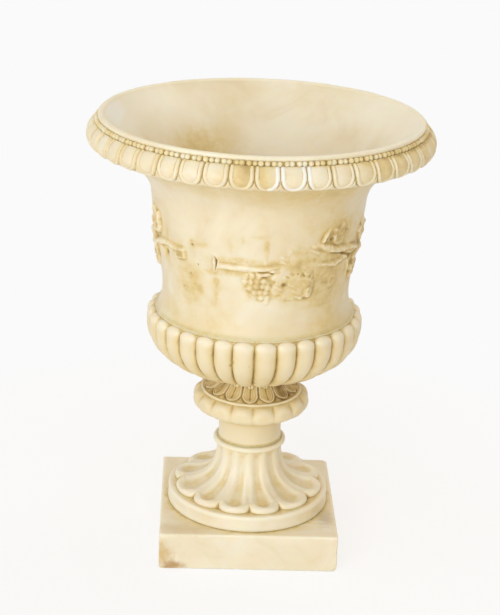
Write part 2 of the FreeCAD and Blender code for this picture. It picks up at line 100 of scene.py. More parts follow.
def smooth_curve(points, count):
    """Evenly spaced points along the natural cubic curve through a few points."""
    points = np.asarray(points, float)
    steps = np.hypot(*np.diff(points, axis=0).T)
    knots = np.concatenate(([0.0], np.cumsum(steps)))
    size = len(points)
    matrix = np.eye(size)
    right = np.zeros_like(points)
    for i in range(1, size - 1):
        before, after = steps[i - 1], steps[i]
        matrix[i, i - 1 : i + 2] = before, 2 * (before + after), after
        rise = (points[i + 1] - points[i]) / after
        fall = (points[i] - points[i - 1]) / before
        right[i] = 6 * (rise - fall)
    bends = np.linalg.solve(matrix, right)
    fine = np.linspace(0.0, knots[-1], 40 * size)
    spot = np.clip(np.searchsorted(knots, fine, side="right") - 1, 0, size - 2)
    step = steps[spot][:, None]
    back = (fine - knots[spot])[:, None]
    front = step - back
    curve = (
        bends[spot] * front**3 / (6 * step)
        + bends[spot + 1] * back**3 / (6 * step)
        + (points[spot] / step - bends[spot] * step / 6) * front
        + (points[spot + 1] / step - bends[spot + 1] * step / 6) * back
    )
    run = run_along(curve)
    even = np.linspace(0.0, run[-1], count)
    return np.column_stack((np.interp(even, run, curve[:, 0]), np.interp(even, run, curve[:, 1])))


def run_along(curve):
    """Distance along a curve at each of its points."""
    return np.concatenate(([0.0], np.cumsum(np.hypot(*np.diff(curve, axis=0).T))))


def square_to(curve):
    """Unit directions square to a curve of (radius, level) points, on its right-hand side."""
    slope = np.gradient(curve, axis=0)
    slope /= np.hypot(slope[:, 0], slope[:, 1])[:, None]
    return np.column_stack((slope[:, 1], -slope[:, 0]))


def lattice(cell, seed):
    """A steady random value from -1 to 1 for each whole-numbered cell."""
    cell = cell.astype(np.uint64)
    mixed = cell[..., 0] * np.uint64(73856093)
    mixed ^= cell[..., 1] * np.uint64(19349663)
    mixed ^= cell[..., 2] * np.uint64(83492791)
    mixed ^= np.uint64(seed * 2654435761)
    mixed ^= mixed >> np.uint64(13)
    mixed *= np.uint64(1274126177)
    mixed ^= mixed >> np.uint64(16)
    return (mixed & np.uint64(0xFFFF)).astype(float) / 32767.5 - 1


def noise(points, scale, seed):
    """Smooth random values from -1 to 1 over points, on cells of this size."""
    spot = np.asarray(points) / scale + 1000.0
    low = np.floor(spot)
    part = spot - low
    part = part * part * (3 - 2 * part)
    total = 0.0
    for corner in itertools.product((0, 1), repeat=3):
        weight = np.prod(np.where(np.array(corner) == 1, part, 1 - part), axis=-1)
        total = total + weight * lattice(low + np.array(corner), seed)
    return total


def lobed_columns(notches, columns):
    """Columns round a stone, equally many per lobe, from its notches in degrees from the front.

    Each column has its turn, its place across its lobe from -1 to 1, and the lobe's width in degrees.
    """
    notches = np.asarray(notches, float)
    widths = np.diff(np.append(notches, notches[0] + 360.0))
    share = np.arange(columns) / columns
    angles = notches[:, None] + widths[:, None] * share[None, :]
    across = np.tile(2 * share - 1, len(notches))
    return FRONT + np.radians(angles).ravel(), across, np.repeat(widths, columns)


def even_notches(count, waver, seed):
    """Notches that start at the front, a hand's breadth off even."""
    steps = np.arange(count)
    wander = np.sin(2.1 * steps + seed) + 0.7 * np.sin(5.3 * steps + 2 * seed)
    return steps * 360.0 / count + waver * wander


def spin(radius, level, turns):
    """Points in space of rings with this radius and level at each turn."""
    radius, level, turns = np.broadcast_arrays(radius, level, np.asarray(turns)[None, :])
    return np.stack((radius * np.cos(turns), radius * np.sin(turns), level), axis=-1)


def turned(curve, turns, height=0.0):
    """Rings along a curve of (radius, level) points, raised by a height to the curve's right."""
    curve = np.asarray(curve, float)
    right = square_to(curve)
    radius = curve[:, :1] + right[:, :1] * height
    level = curve[:, 1:] + right[:, 1:] * height
    return spin(radius, level, turns)


def grid_normals(points):
    """Directions square to a grid of rings, out of the stone."""
    along = np.gradient(points, axis=0)
    around = np.roll(points, -1, axis=1) - np.roll(points, 1, axis=1)
    normal = np.cross(around, along)
    return normal / np.maximum(np.linalg.norm(normal, axis=-1, keepdims=True), 1e-9)


def softened(points, column_reach, row_reach):
    """A grid of rings blurred by this many columns and rows."""
    count = points.shape[1]
    keep = np.exp(-2 * (np.pi * np.fft.rfftfreq(count) * column_reach) ** 2)
    soft = np.fft.irfft(np.fft.rfft(points, axis=1) * keep[None, :, None], count, axis=1)
    reach = int(3 * row_reach) + 1
    kernel = np.exp(-0.5 * (np.arange(-reach, reach + 1) / row_reach) ** 2)
    kernel /= kernel.sum()
    padded = np.concatenate((np.repeat(soft[:1], reach, axis=0), soft, np.repeat(soft[-1:], reach, axis=0)))
    return sum(weight * padded[i : i + len(points)] for i, weight in enumerate(kernel))


def hollowness(points, reach):
    """How far each point lies below its surroundings, as a share of the reach looked at."""
    wide = np.linalg.norm(np.roll(points, -1, axis=1) - points, axis=-1).mean()
    tall = np.linalg.norm(np.diff(points, axis=0), axis=-1).mean()
    around = softened(points, reach / wide, reach / tall)
    return np.sum((around - points) * grid_normals(points), axis=-1) / reach


def carved(points, more_dirt_and_shade=0.0, reach=0.8, strength=1.0):
    """A band of carved rings with dirt in its hollows, any more dirt and painted shade that is given, and
    paler crests: wear, and painted highlight.
    """
    fine = hollowness(points, reach)
    broad = hollowness(points, 2.5 * reach)
    wide = hollowness(points, 5.0 * reach)
    dirt_and_shade = np.clip(1.1 * fine - 0.05, 0, 0.5) + np.clip(1.9 * broad - 0.05, 0, 0.6)
    dirt_and_shade = dirt_and_shade + np.clip(1.5 * wide - 0.05, 0, 0.5)
    wear_and_highlight = np.clip(-1.6 * fine - 0.04, 0, 0.5) + np.clip(-1.2 * broad - 0.05, 0, 0.4)
    return points, np.clip(strength * dirt_and_shade + more_dirt_and_shade, 0, 1), np.clip(wear_and_highlight, 0, 0.7)


def plain(points, dirt_and_shade=0.0):
    """A band of smooth rings, evenly darkened by the given amount."""
    return points, np.full(points.shape[:2], float(dirt_and_shade)), np.zeros(points.shape[:2])


def plain_rings(places, turns, dirt_and_shade=0.0):
    """Smooth rings through (radius, level) places, evenly darkened by the given amount."""
    places = np.asarray(places, float)
    return plain(spin(places[:, :1], places[:, 1:], turns), dirt_and_shade)


def pale_wear_and_highlight(points, wear_and_highlight):
    """A band of smooth rings, made paler by wear and painted highlight."""
    return points, np.zeros(points.shape[:2]), wear_and_highlight + np.zeros(points.shape[:2])


def clouds_and_shade(points, more=0.0):
    """Faint golden clouds in the stone, most on the right and at the lower left; the cloud on the right is
    partly painted shade on the side away from the light.
    """
    angle = bearing(np.arctan2(points[..., 1], points[..., 0]))
    # On the right: a golden cloud, and painted shade.
    right = near(angle, 48, 30)
    low_left = near(angle, -46, 20) * ease(226.0, 200.0, points[..., 2])
    low = ease(205.0, 186.0, points[..., 2])
    cloud = 0.02 + 0.11 * right + 0.12 * low_left + (0.08 + 0.05 * low) * noise(points, 22.0, 45)
    return np.clip(cloud + (0.04 + 0.03 * low) * noise(points, 7.0, 48) + more, 0, 1)


def clouded_and_shaded(points, more=0.0):
    """A band of smooth rings with golden clouds, partly painted shade, and any more darkening given."""
    return points, clouds_and_shade(points, more), np.zeros(points.shape[:2])


def hand_cut(points, amount, seed):
    """Points moved a little by an unsteady hand, but not where one stone sits on another."""
    shift = np.stack([noise(points, 24.0, seed + axis) for axis in range(3)], axis=-1)
    shift = shift + 0.35 * np.stack([noise(points, 7.0, seed + 5 + axis) for axis in range(3)], axis=-1)
    for seat in SEATS:
        shift = shift * ease(0.1, 4.0, np.abs(points[..., 2] - seat))[..., None]
    return points + amount * shift


def stitch(faces, low, low_count, high, high_count):
    """Faces between two rings, of which one may have a whole number of times as many points as the other."""
    if low_count == high_count:
        here = np.arange(low_count)
        there = (here + 1) % low_count
        faces.extend(np.column_stack((low + here, low + there, high + there, high + here)).tolist())
    elif low_count > high_count:
        ratio = low_count // high_count
        for i in range(high_count):
            fine = [low + (i * ratio + j) % low_count for j in range(ratio + 1)]
            faces.append(fine + [high + (i + 1) % high_count, high + i])
    else:
        ratio = high_count // low_count
        for i in range(low_count):
            fine = [high + (i * ratio + j) % high_count for j in range(ratio + 1)]
            faces.append([low + i, low + (i + 1) % low_count] + fine[::-1])


def turned_mesh(name, bands):
    """A closed mesh of bands of rings, each joined to the next, and the last to the first."""
    rings, faces = [], []
    start = 0
    for points, _, _ in bands:
        rows, count = points.shape[:2]
        rings += [(start + row * count, count) for row in range(rows)]
        start += rows * count
    for (low, low_count), (high, high_count) in zip(rings, rings[1:] + rings[:1]):
        stitch(faces, low, low_count, high, high_count)
    points = np.concatenate([band[0].reshape(-1, 3) for band in bands])
    dirt_and_shade = np.concatenate([band[1].ravel() for band in bands])
    wear_and_highlight = np.concatenate([band[2].ravel() for band in bands])
    return make_piece(name, points, faces, dirt_and_shade, wear_and_highlight)


def make_piece(name, points, faces, dirt_and_shade=None, wear_and_highlight=None):
    """A smooth-shaded mesh object from points in millimetres, with dirt and painted shade, and wear and
    painted highlight, kept on the points.
    """
    mesh = bpy.data.meshes.new(name)
    mesh.from_pydata((np.asarray(points) * MM).tolist(), [], faces)
    mesh.shade_smooth()
    for label, values in (("dirt_and_shade", dirt_and_shade), ("wear_and_highlight", wear_and_highlight)):
        if values is not None:
            layer = mesh.attributes.new(label, "FLOAT", "POINT")
            layer.data.foreach_set("value", np.asarray(values, np.float32))
    mesh.update()
    piece = bpy.data.objects.new(name, mesh)
    bpy.context.scene.collection.objects.link(piece)
    return piece


def square_ring(half, corner, level, per_side):
    """Points round a square with rounded corners, anticlockwise from the middle of its front side."""
    corner_steps = 6
    straight = half - corner
    share = np.linspace(-1, 1, per_side - corner_steps + 1)[:-1]
    along = np.sign(share) * (1 - (1 - np.abs(share)) ** 1.25) * straight
    side = np.column_stack((along, np.full(len(along), -half)))
    arc = np.linspace(0, math.pi / 2, corner_steps + 1)[:-1]
    bend = np.column_stack((straight + corner * np.sin(arc), -straight - corner * np.cos(arc)))
    quarter = np.concatenate((side, bend))
    points = []
    for turn in range(4):
        cos, sin = math.cos(turn * math.pi / 2), math.sin(turn * math.pi / 2)
        points.append(quarter @ np.array([[cos, sin], [-sin, cos]]))
    ring = np.concatenate(points)
    ring = np.roll(ring, -(per_side - corner_steps) // 2, axis=0)
    return np.column_stack((ring, np.full(len(ring), level)))


# Nicks in the plinth's edges: where, how wide and how deep
PLINTH_NICKS = (
    (-60.0, -60.0, 26.0, 2.6, 0.7),
    (-31.0, -60.0, 26.0, 1.9, 0.35),
    (9.0, -60.0, 26.0, 1.6, 0.4),
    (47.0, -60.0, 26.0, 2.2, 0.35),
    (60.0, -60.0, 14.0, 2.0, 0.4),
    (60.0, -60.0, 1.0, 3.0, 0.8),
    (-60.0, -60.0, 3.0, 2.6, 0.6),
    (-8.0, -60.0, 0.0, 2.2, 0.35),
    (60.0, 8.0, 26.0, 2.4, 0.5),
    (60.0, 60.0, 26.0, 3.2, 1.0),
    (22.0, 60.0, 26.0, 2.0, 0.45),
    (-60.0, 21.0, 26.0, 2.2, 0.45),
    (-60.0, 60.0, 8.0, 2.6, 0.8),
    (-60.0, -22.0, 0.0, 2.4, 0.5),
)


def build_plinth():
    """Square block with rubbed edges, small nicks and a recess for the nut underneath."""
    half = PLINTH_HALF
    per_side = 132
    rounding = 1.1
    corner = 1.1
    rings = []

    def add(size, corner, level):
        rings.append(square_ring(size, corner, level, per_side))

    arc = np.linspace(0, math.pi / 2, 5)
    add(48.0, 4.0, 0.0)
    add(56.5, 2.0, 0.0)
    for angle in arc:
        add(half - rounding + rounding * math.sin(angle), corner, rounding - rounding * math.cos(angle))
    for level in np.linspace(1.8, PLINTH_TOP - 1.8, 22):
        add(half, corner, level)
    for angle in arc:
        low = PLINTH_TOP - rounding
        add(half - rounding + rounding * math.cos(angle), corner, low + rounding * math.sin(angle))
    for size in (58.4, 57.4, 56.4, 55.0, 53.0, 50.0):
        add(size, 1.5, PLINTH_TOP)
    points = np.array(rings)
    wear = 0.16 * noise(points, 9.0, 3) + 0.10 * noise(points, 3.2, 4)
    rubbed = np.abs(points[..., 2] - PLINTH_TOP / 2) < PLINTH_TOP / 2 - 0.01
    edge = ease(52.0, 60.0, np.abs(points[..., :2]).max(axis=-1)) * rubbed
    dip = np.maximum(0.0, wear) * edge
    for x, y, z, reach, depth in PLINTH_NICKS:
        away = np.linalg.norm(points - np.array([x, y, z]), axis=-1) / reach
        dip = dip + depth * rounded(away**2, 1.3)
    inward = np.array([0.0, 0.0, PLINTH_TOP / 2]) - points
    inward[..., :2] *= 0.35
    inward /= np.linalg.norm(inward, axis=-1, keepdims=True)
    points = points + inward * dip[..., None]
    turns = np.arctan2(points[0, ::4, 1], points[0, ::4, 0])
    socket_floor = FOOT_SPIGOT_END - SPIGOT_END_GAP
    bore = [(FOOT_SOCKET, PLINTH_TOP), (FOOT_SOCKET, socket_floor), (ROD_WAY, socket_floor)]
    bore += [(ROD_WAY, NUT_RECESS_TOP), (NUT_RECESS, NUT_RECESS_TOP), (NUT_RECESS, 0.5)]
    bore += [(NUT_RECESS + 0.4, 0.0)]
    _, dirt_and_shade, wear_and_highlight = carved(points, reach=1.1, strength=0.5)
    # Top edge made paler: wear, and a painted highlight where the edge catches the light.
    top_edge = np.hypot(points[..., 2] - PLINTH_TOP, np.abs(points[..., :2]).max(axis=-1) - half)
    wear_and_highlight = np.maximum(wear_and_highlight, 0.75 * ease(2.6, 0.9, top_edge + 0.7 * noise(points, 5.0, 6)))
    bands = [
        (points, dirt_and_shade, wear_and_highlight),
        plain_rings([(40.0, PLINTH_TOP)], turns),
        plain_rings(bore, turns, 0.5),
        plain_rings([(34.0, 0.0)], turns),
    ]
    return turned_mesh("plinth_block", bands)


# Where the grooves between the foot's petals lie, in degrees from the front, as unevenly as they are cut
PETAL_NOTCHES = (0, 25.7, 57.7, 92.7, 122.7, 152.5, 182.2, 212.0, 241.7, 272.7, 307.7, 333.7)


def build_foot():
    """Disc, a ring of thick-lipped petals, and a trumpet with a channel running up from each petal."""
    turns, across, width = lobed_columns(PETAL_NOTCHES, 64)
    disc = [(54.9, 26.0), (55.2, 26.4), (55.25, 29.5), (55.2, 33.5), (55.0, 36.2), (54.5, 36.9)]
    disc.append((53.6, 37.05))
    disc_rows = np.concatenate((smooth_curve(disc, 16), [(52.9, 37.0), (52.2, 36.95), (51.6, 36.9)]))
    crown = smooth_curve(
        [
            (51.0, 36.9), (51.4, 38.0), (51.3, 39.2), (50.6, 40.4), (49.0, 41.3), (46.8, 41.7),
            (44.5, 41.9),
        ], 26,
    )
    notch = smooth_curve(
        [
            (47.0, 36.9), (46.9, 38.0), (46.6, 39.2), (46.1, 40.3), (45.4, 41.2), (44.5, 41.9),
        ],
        26,
    )
    trumpet = smooth_curve(
        [
            (44.5, 41.9), (40.5, 42.3), (34.0, 44.2), (28.4, 47.6), (24.7, 52.6), (22.6, 58.6),
            (21.7, 65.0), (21.5, 69.4),
        ],
        76,
    )
    ring = smooth_curve(
        [
            (21.6, 69.3), (22.6, 69.4), (24.0, 69.8), (24.8, 70.7), (24.9, 71.5), (24.5, 72.4),
            (23.5, 73.0), (22.4, 73.1),
        ], 16,
    )
    tip = rounded(np.abs(across) ** 2.2, 0.75)
    lip = crown[:, None, :] * tip[None, :, None] + notch[:, None, :] * (1 - tip)[None, :, None]
    run = run_along(trumpet)[:, None]
    radius = trumpet[:, :1]
    pitch = np.radians(width)[None, :] / 2
    half_pitch = radius * pitch
    aside = np.abs(across)[None, :] * half_pitch
    # The channel's round end lies round a point on the trumpet's skirt.
    end_radius = 42.3
    end_share = 0.74
    flat_floor, soft_edge = 2.6, 1.25
    end_run = np.interp(-end_radius, -trumpet[:, 0], run[:, 0])
    share = np.interp(radius, [22.0, 28.0, end_radius], [0.6, 0.66, end_share])
    depth = np.interp(radius, [21.5, 24.0, 30.0, end_radius], [0.9, 1.25, 1.7, 2.0])
    depth = depth * ease(0.0, 4.5, run[-1] - run)
    away = np.hypot(aside, np.maximum(end_run - run, 0.0)) / (share * half_pitch)
    channel = -depth * rounded(away**flat_floor, soft_edge)
    outside = np.clip((aside / half_pitch - share) / (1 - share), 0, 1)
    ridge = 0.55 * np.sin(outside * math.pi / 2) * (away > 1) * ease(26.0, 22.0, radius + 0 * outside)
    beside = half_pitch - aside
    faint = 0.15 * near(beside, 0, 0.9) * ease(30.0, 38.0, radius)
    open_tip = 0.25 * near(beside, 0, 0.9) * ease(4.0, 0.2, run)
    height = (channel + ridge - faint - open_tip) * ease(0.0, 0.5, run[-1] - run)
    upper = turned(trumpet, turns, height)
    # It reaches back over the lip.
    lip_run = run_along(crown)[:, None] - run_along(crown)[-1]
    end_half = end_radius * pitch
    lip_away = np.hypot(np.abs(across)[None, :] * 44.5 * pitch, end_run - lip_run) / (end_share * end_half)
    lip_dip = depth[0] * rounded(lip_away**flat_floor, soft_edge)
    lip_beside = (1 - np.abs(across))[None, :] * 45.0 * pitch
    lip_dip = lip_dip + 0.4 * near(lip_beside, 0, 0.9) * ease(-3.5, 0.0, lip_run)
    outer = turned(disc_rows, turns)
    lips = spin(lip[..., 0], lip[..., 1] - lip_dip, turns)
    top = turned(ring, turns)
    points = hand_cut(np.concatenate((outer, lips, upper, top)), 0.16, 11)
    more = np.zeros(points.shape[:2])
    skirt = len(outer) + len(lips)
    patch = ease(0.95, 0.35, away) * ease(end_run + 9.0, end_run - 2.0, run)
    more[skirt : skirt + len(upper)] = 0.05 * patch * (0.6 + 0.5 * noise(upper, 6.0, 17))
    more[len(outer) : skirt] = 0.05 * ease(0.95, 0.35, lip_away)
    # Painted shade in the recess under the tips, where two petals meet.
    more[len(outer) : skirt] += 0.22 * near(lip_beside, 0, 1.0) * ease(-4.0, -8.0, lip_run)
    more[len(outer) - 5 : len(outer) + 3] += 0.1
    more[:3] += 0.15
    # Painted shade on the disc's right side.
    more[: len(outer)] += 0.14 * near(np.degrees(turns - FRONT), 58, 17)[None, :]
    socket_floor = COLLAR_SPIGOT_END - SPIGOT_END_GAP
    bore = [(SOCKET, FOOT_TOP), (SOCKET, socket_floor), (ROD_WAY, socket_floor), (ROD_WAY, FOOT_SPIGOT_END)]
    bore += [(FOOT_SPIGOT, FOOT_SPIGOT_END), (FOOT_SPIGOT, PLINTH_TOP)]
    bands = [
        carved(points, more, reach=0.9, strength=0.42),
        plain_rings(bore, turns[::8]),
    ]
    return turned_mesh("fluted_foot", bands)


def build_collar():
    """Neck drum, lobed edge, thin ring and hollow slope cut with leaves."""
    turns, across, width = lobed_columns(even_notches(16, 0.35, 1.0), 40)
    neck = smooth_curve(
        [
            (22.4, 73.1), (21.75, 73.9), (21.4, 76.0), (21.35, 84.0), (21.4, 92.5), (21.9, 94.8),
        ],
        26,
    )
    under = smooth_curve([(22.6, 95.3), (25.0, 95.5), (29.0, 95.6), (33.0, 95.8)], 10)
    crown = smooth_curve(
        [
            (33.4, 95.9), (36.4, 96.3), (38.6, 97.9), (39.5, 100.0), (39.6, 102.4), (39.1, 104.9),
            (37.6, 107.1), (35.6, 108.2), (34.5, 108.4),
        ],
        40,
    )
    notch = smooth_curve(
        [
            (33.2, 96.3), (33.9, 96.9), (34.6, 98.3), (35.1, 100.2), (35.3, 102.4), (35.2, 104.6),
            (34.9, 106.4), (34.6, 107.7), (34.3, 108.3),
        ],
        40,
    )
    place = np.linspace(0, 1, 40)[:, None]
    cut = np.abs(across)[None, :] ** (3.4 - 1.5 * ease(0.4, 0.9, place))
    full = 1 - cut * (0.14 + 0.8 * ease(0.42, 0.95, place))
    lobes = crown[:, None, :] * full[..., None] + notch[:, None, :] * (1 - full[..., None])
    ring = smooth_curve(
        [
            (34.1, 108.5), (34.2, 108.9), (34.1, 109.5), (33.7, 109.95), (33.1, 109.95), (32.7, 109.7),
        ],
        9,
    )
    slope = smooth_curve(
        [
            (32.4, 109.7), (29.6, 110.4), (26.3, 112.4), (23.5, 115.2), (21.4, 118.3), (20.5, 120.8),
        ],
        60,
    )
    run = run_along(slope)[:, None]
    whole = run[-1]
    leaves_round = 14
    leaf_turn = np.degrees(turns - FRONT) + 3.6
    leaf = 2 * np.mod(leaf_turn * leaves_round / 360.0 + 0.5, 1.0) - 1
    half_pitch = slope[:, :1] * math.pi / leaves_round
    aside = np.abs(leaf)[None, :] * half_pitch
    wide = 0.96 * half_pitch
    centre = 0.42 * whole
    down = np.clip((centre - run) / (centre - 0.7), 0, 1)
    from_end = ((aside / wide) ** 1.6 + down**1.6) ** (1 / 1.6)
    edge = (1 - from_end) * wide + 0.3 * noise(turned(slope, turns), 2.6, 29)
    outline = near(edge, 0.75, 0.5)
    inner = near(edge, 2.3, 0.45) * ease(0.75, 0.5, run / whole)
    slit = near(aside, 0, 0.42) * ease(0.12, 0.3, run / whole)
    gap = near(edge, -0.1, 0.45)
    dart = rounded(np.hypot((half_pitch - aside) / 1.9, (run - 2.0) / 2.4), 0.6)
    boss = 1.3 * rounded((aside / 2.2) ** 2 + ((run - whole + 3.2) / 2.0) ** 2, 0.5)
    height = 0.55 * outline + 0.25 * inner + 0.3 * ease(-0.1, 0.8, edge) + 0.7 * dart
    height = height - 0.65 * slit - 0.5 * gap
    height = height * ease(0.0, 1.0, run) * ease(0.0, 4.0, whole - run) + boss
    leaves = turned(slope, turns, height)
    lobed = spin(lobes[..., 0], lobes[..., 1], turns)
    seat = [(20.3, BOWL_SEAT - 1.0), (20.2, BOWL_SEAT - 0.1), (20.0, BOWL_SEAT)]
    low, edge, high, top = (turned(rows, turns) for rows in (neck, under, ring, seat))
    points = hand_cut(np.concatenate((low, edge, lobed, high, leaves, top)), 0.14, 21)
    first_leaf = len(neck) + len(under) + len(lobes) + len(ring)
    more = np.zeros(points.shape[:2])
    more[:7] = -0.3
    # The leaf slope under the bowl is darker: dirt, and painted shade under the bowl; with darker patches at
    # 50, 205 and 298 degrees.
    more[first_leaf:] = 0.34
    angle = np.degrees(turns - FRONT)[None, :]
    for middle, strength in ((50.0, 0.75), (205.0, 0.4), (298.0, 0.24)):
        dark_patch = strength * near(angle, middle, 17)
        more[first_leaf:] += dark_patch
    more[first_leaf : first_leaf + len(slope)] *= 1 - 0.4 * np.clip(outline + inner, 0, 1)
    low_lobe = len(neck) + len(under)
    high_lobe = low_lobe + len(lobes)
    # Painted shade on the lobes' tops, under the ring.
    more[low_lobe:high_lobe] = 0.04 + 0.14 * ease(0.74, 1.0, place)
    points, dirt_and_shade, wear_and_highlight = carved(points, more, reach=0.7, strength=0.7)
    beside = (1 - np.abs(across))[None, :] * np.radians(width)[None, :] / 2 * 39.0
    # Painted shade: more on the lobes' tops, and a wedge at the top of each notch, under the ring.
    notch_half = 0.9 + 2.6 * ease(0.5, 0.95, place)
    shaded = 0.1 + 0.16 * ease(0.7, 0.95, place)
    shaded = shaded + 0.26 * ease(1.0, 0.0, beside / notch_half) * ease(0.42, 0.72, place)
    dirt_and_shade[low_lobe:high_lobe] = np.minimum(dirt_and_shade[low_lobe:high_lobe] + 0.4 * (shaded - 0.1), shaded)
    bore = [(SPIGOT, BOWL_SEAT), (SPIGOT, COLLAR_TOP_END), (ROD_WAY, COLLAR_TOP_END)]
    bore += [(ROD_WAY, COLLAR_SPIGOT_END), (SPIGOT, COLLAR_SPIGOT_END), (SPIGOT, FOOT_TOP)]
    return turned_mesh("lobed_collar", [(points, dirt_and_shade, wear_and_highlight), plain_rings(bore, turns[::8])])


# Dark specks in the bowl's lobes: where, how wide and how strong
BOWL_SPECKS = (
    (-14.0, 152.0, 0.7, 0.7),
    (-4.1, 152.7, 0.45, 0.6),
    (-12.4, 154.3, 0.9, 0.45),
    (-1.0, 135.8, 1.0, 0.9),
)

# How far the bowl's front grooves stand off even, in degrees, from the fifth on the left to the fifth right
GROOVE_DRIFT = (-0.3, -0.4, -0.4, -1.0, -1.9, -1.5, -0.7, -0.9, -1.2, -0.3, -0.8)


def build_bowl():
    """Gadrooned bowl: full, round-ended lobes with narrow dirty grooves, painted shade towards the grooves,
    painted highlight down the lobes, and a smooth hollow.
    """
    notches = even_notches(32, 0.22, 3.0)
    notches[np.arange(-5, 6)] = np.mod(np.arange(-5, 6) * 11.25, 360.0) + np.array(GROOVE_DRIFT)
    notches = np.sort(np.mod(notches, 360.0))
    turns, across, width = lobed_columns(notches, 28)
    swell = 3.3
    belly = 72.2 - swell
    belly_level = 157.4
    under_turns = np.linspace(math.asin(20.0 / belly), math.pi / 2, 24)
    under = np.column_stack((belly * np.sin(under_turns) ** 1.06, belly_level - 36.2 * np.cos(under_turns)))
    under[:, 1] += (BOWL_SEAT + 0.05 - under[0, 1]) * np.linspace(1, 0, 24)
    shoulder = 5.0
    arc = np.linspace(0, math.radians(55), 8)[1:]
    top = BELL_SEAT - 0.6
    over = np.column_stack((belly + shoulder * (np.cos(arc) - 1), top + shoulder * (np.sin(arc) - 1)))
    outside = smooth_curve(np.concatenate((under, over)), 110)
    run = run_along(outside)[:, None]
    half = outside[:, :1] * np.radians(width)[None, :] / 2
    low_end, high_end = 1.2, run[-1] + 0.5
    low_reach = np.clip((low_end + 1.2 * half - run) / (1.2 * half), 0, 1)
    high_reach = np.clip((run - high_end + 0.62 * half) / (0.62 * half), 0, 1)
    away = np.sqrt(across[None, :] ** 2 + np.maximum(low_reach, high_reach) ** 2)
    fullness = rounded(away**2, 0.66)
    height = swell * fullness * np.clip((half - 1.3) / 5.0, 0.2, 1.0)
    beside = (away - 1) * half
    height = height - 0.3 * near(beside, 0, 0.55) * ease(0.5, 3.0, run) * ease(0.0, 4.0, run[-1] - run)
    shell = turned(outside, turns, height)
    seat = outside[-1, 1]
    ledge = turned([(66.8, seat + 0.4), (66.7, seat + 1.1), (66.3, BELL_SEAT)], turns)
    points = hand_cut(np.concatenate((shell, ledge)), 0.16, 31)
    lobe_tone = np.repeat(np.sin(2.9 * np.arange(32) + 0.8), 28)[None, :]
    more = 0.03 + 0.04 * lobe_tone + 0.1 * noise(points, 11.0, 37) + 0.05 * noise(points, 4.0, 38)
    # Painted shade on each lobe towards its grooves; darker towards the bottom.
    more = more + 0.24 * np.abs(across)[None, :] ** 3 + 0.16 * ease(152.0, 130.0, points[..., 2])
    more = more - 0.2 * ease(163.0, 166.0, points[..., 2]) + 0.14 * ease(166.6, 167.6, points[..., 2])
    for angle, level, reach, strength in BOWL_SPECKS:
        turn = FRONT + math.radians(angle)
        aside = 71.0 * (np.remainder(turns - turn + math.pi, TURN) - math.pi)[None, :]
        more = more + strength * np.exp(-((aside**2 + (points[..., 2] - level) ** 2) / reach**2))
    points, dirt_and_shade, wear_and_highlight = carved(points, np.clip(more, 0, 1), reach=1.0, strength=0.62)
    # Painted highlight down the middle of each lobe, on its upper part.
    crest_highlight = 0.4 * ease(0.8, 0.2, np.abs(across))[None, :] * ease(138.0, 152.0, points[..., 2])
    few = turns[::7]
    rebate = BELL_SPIGOT_END - SPIGOT_END_GAP
    inside = smooth_curve([(BELL_BORE, rebate), (47.6, 152.6), (41.0, 143.8), (35.6, 136.2)], 20)
    socket_roof = COLLAR_TOP_END + SPIGOT_END_GAP
    bore = [(ROD_WAY, BOWL_FLOOR), (ROD_WAY, socket_roof), (SOCKET, socket_roof), (SOCKET, BOWL_SEAT)]
    bands = [
        (points, dirt_and_shade, np.maximum(wear_and_highlight, crest_highlight)),
        plain_rings([(BELL_SOCKET, BELL_SEAT), (BELL_SOCKET, rebate)], few),
        plain_rings(inside, few, 0.3),
        plain_rings([(34.6, BOWL_FLOOR + 0.4), (33.6, BOWL_FLOOR), (15.0, BOWL_FLOOR)], few, 0.5),
        plain_rings(bore, few),
    ]
    return turned_mesh("gadrooned_bowl", bands)


BELL_OUTLINE = (
    (66.2, 168.7), (65.5, 169.5), (64.8, 170.5), (63.9, 172.6), (62.8, 176.6), (62.2, 182.5),
    (62.5, 190.8), (63.7, 200.0), (65.3, 210.0), (66.9, 218.0), (67.9, 225.0), (68.9, 233.0),
    (69.8, 240.4), (70.3, 245.2), (70.9, 250.0), (73.4, 257.0), (79.0, 264.6), (88.0, 272.5),
    (97.0, 277.3), (102.6, 279.0),
)
# The middle radius on which the frieze is laid out flat
VINE_RADIUS = 66.5
BERRY_RADIUS = 2.15


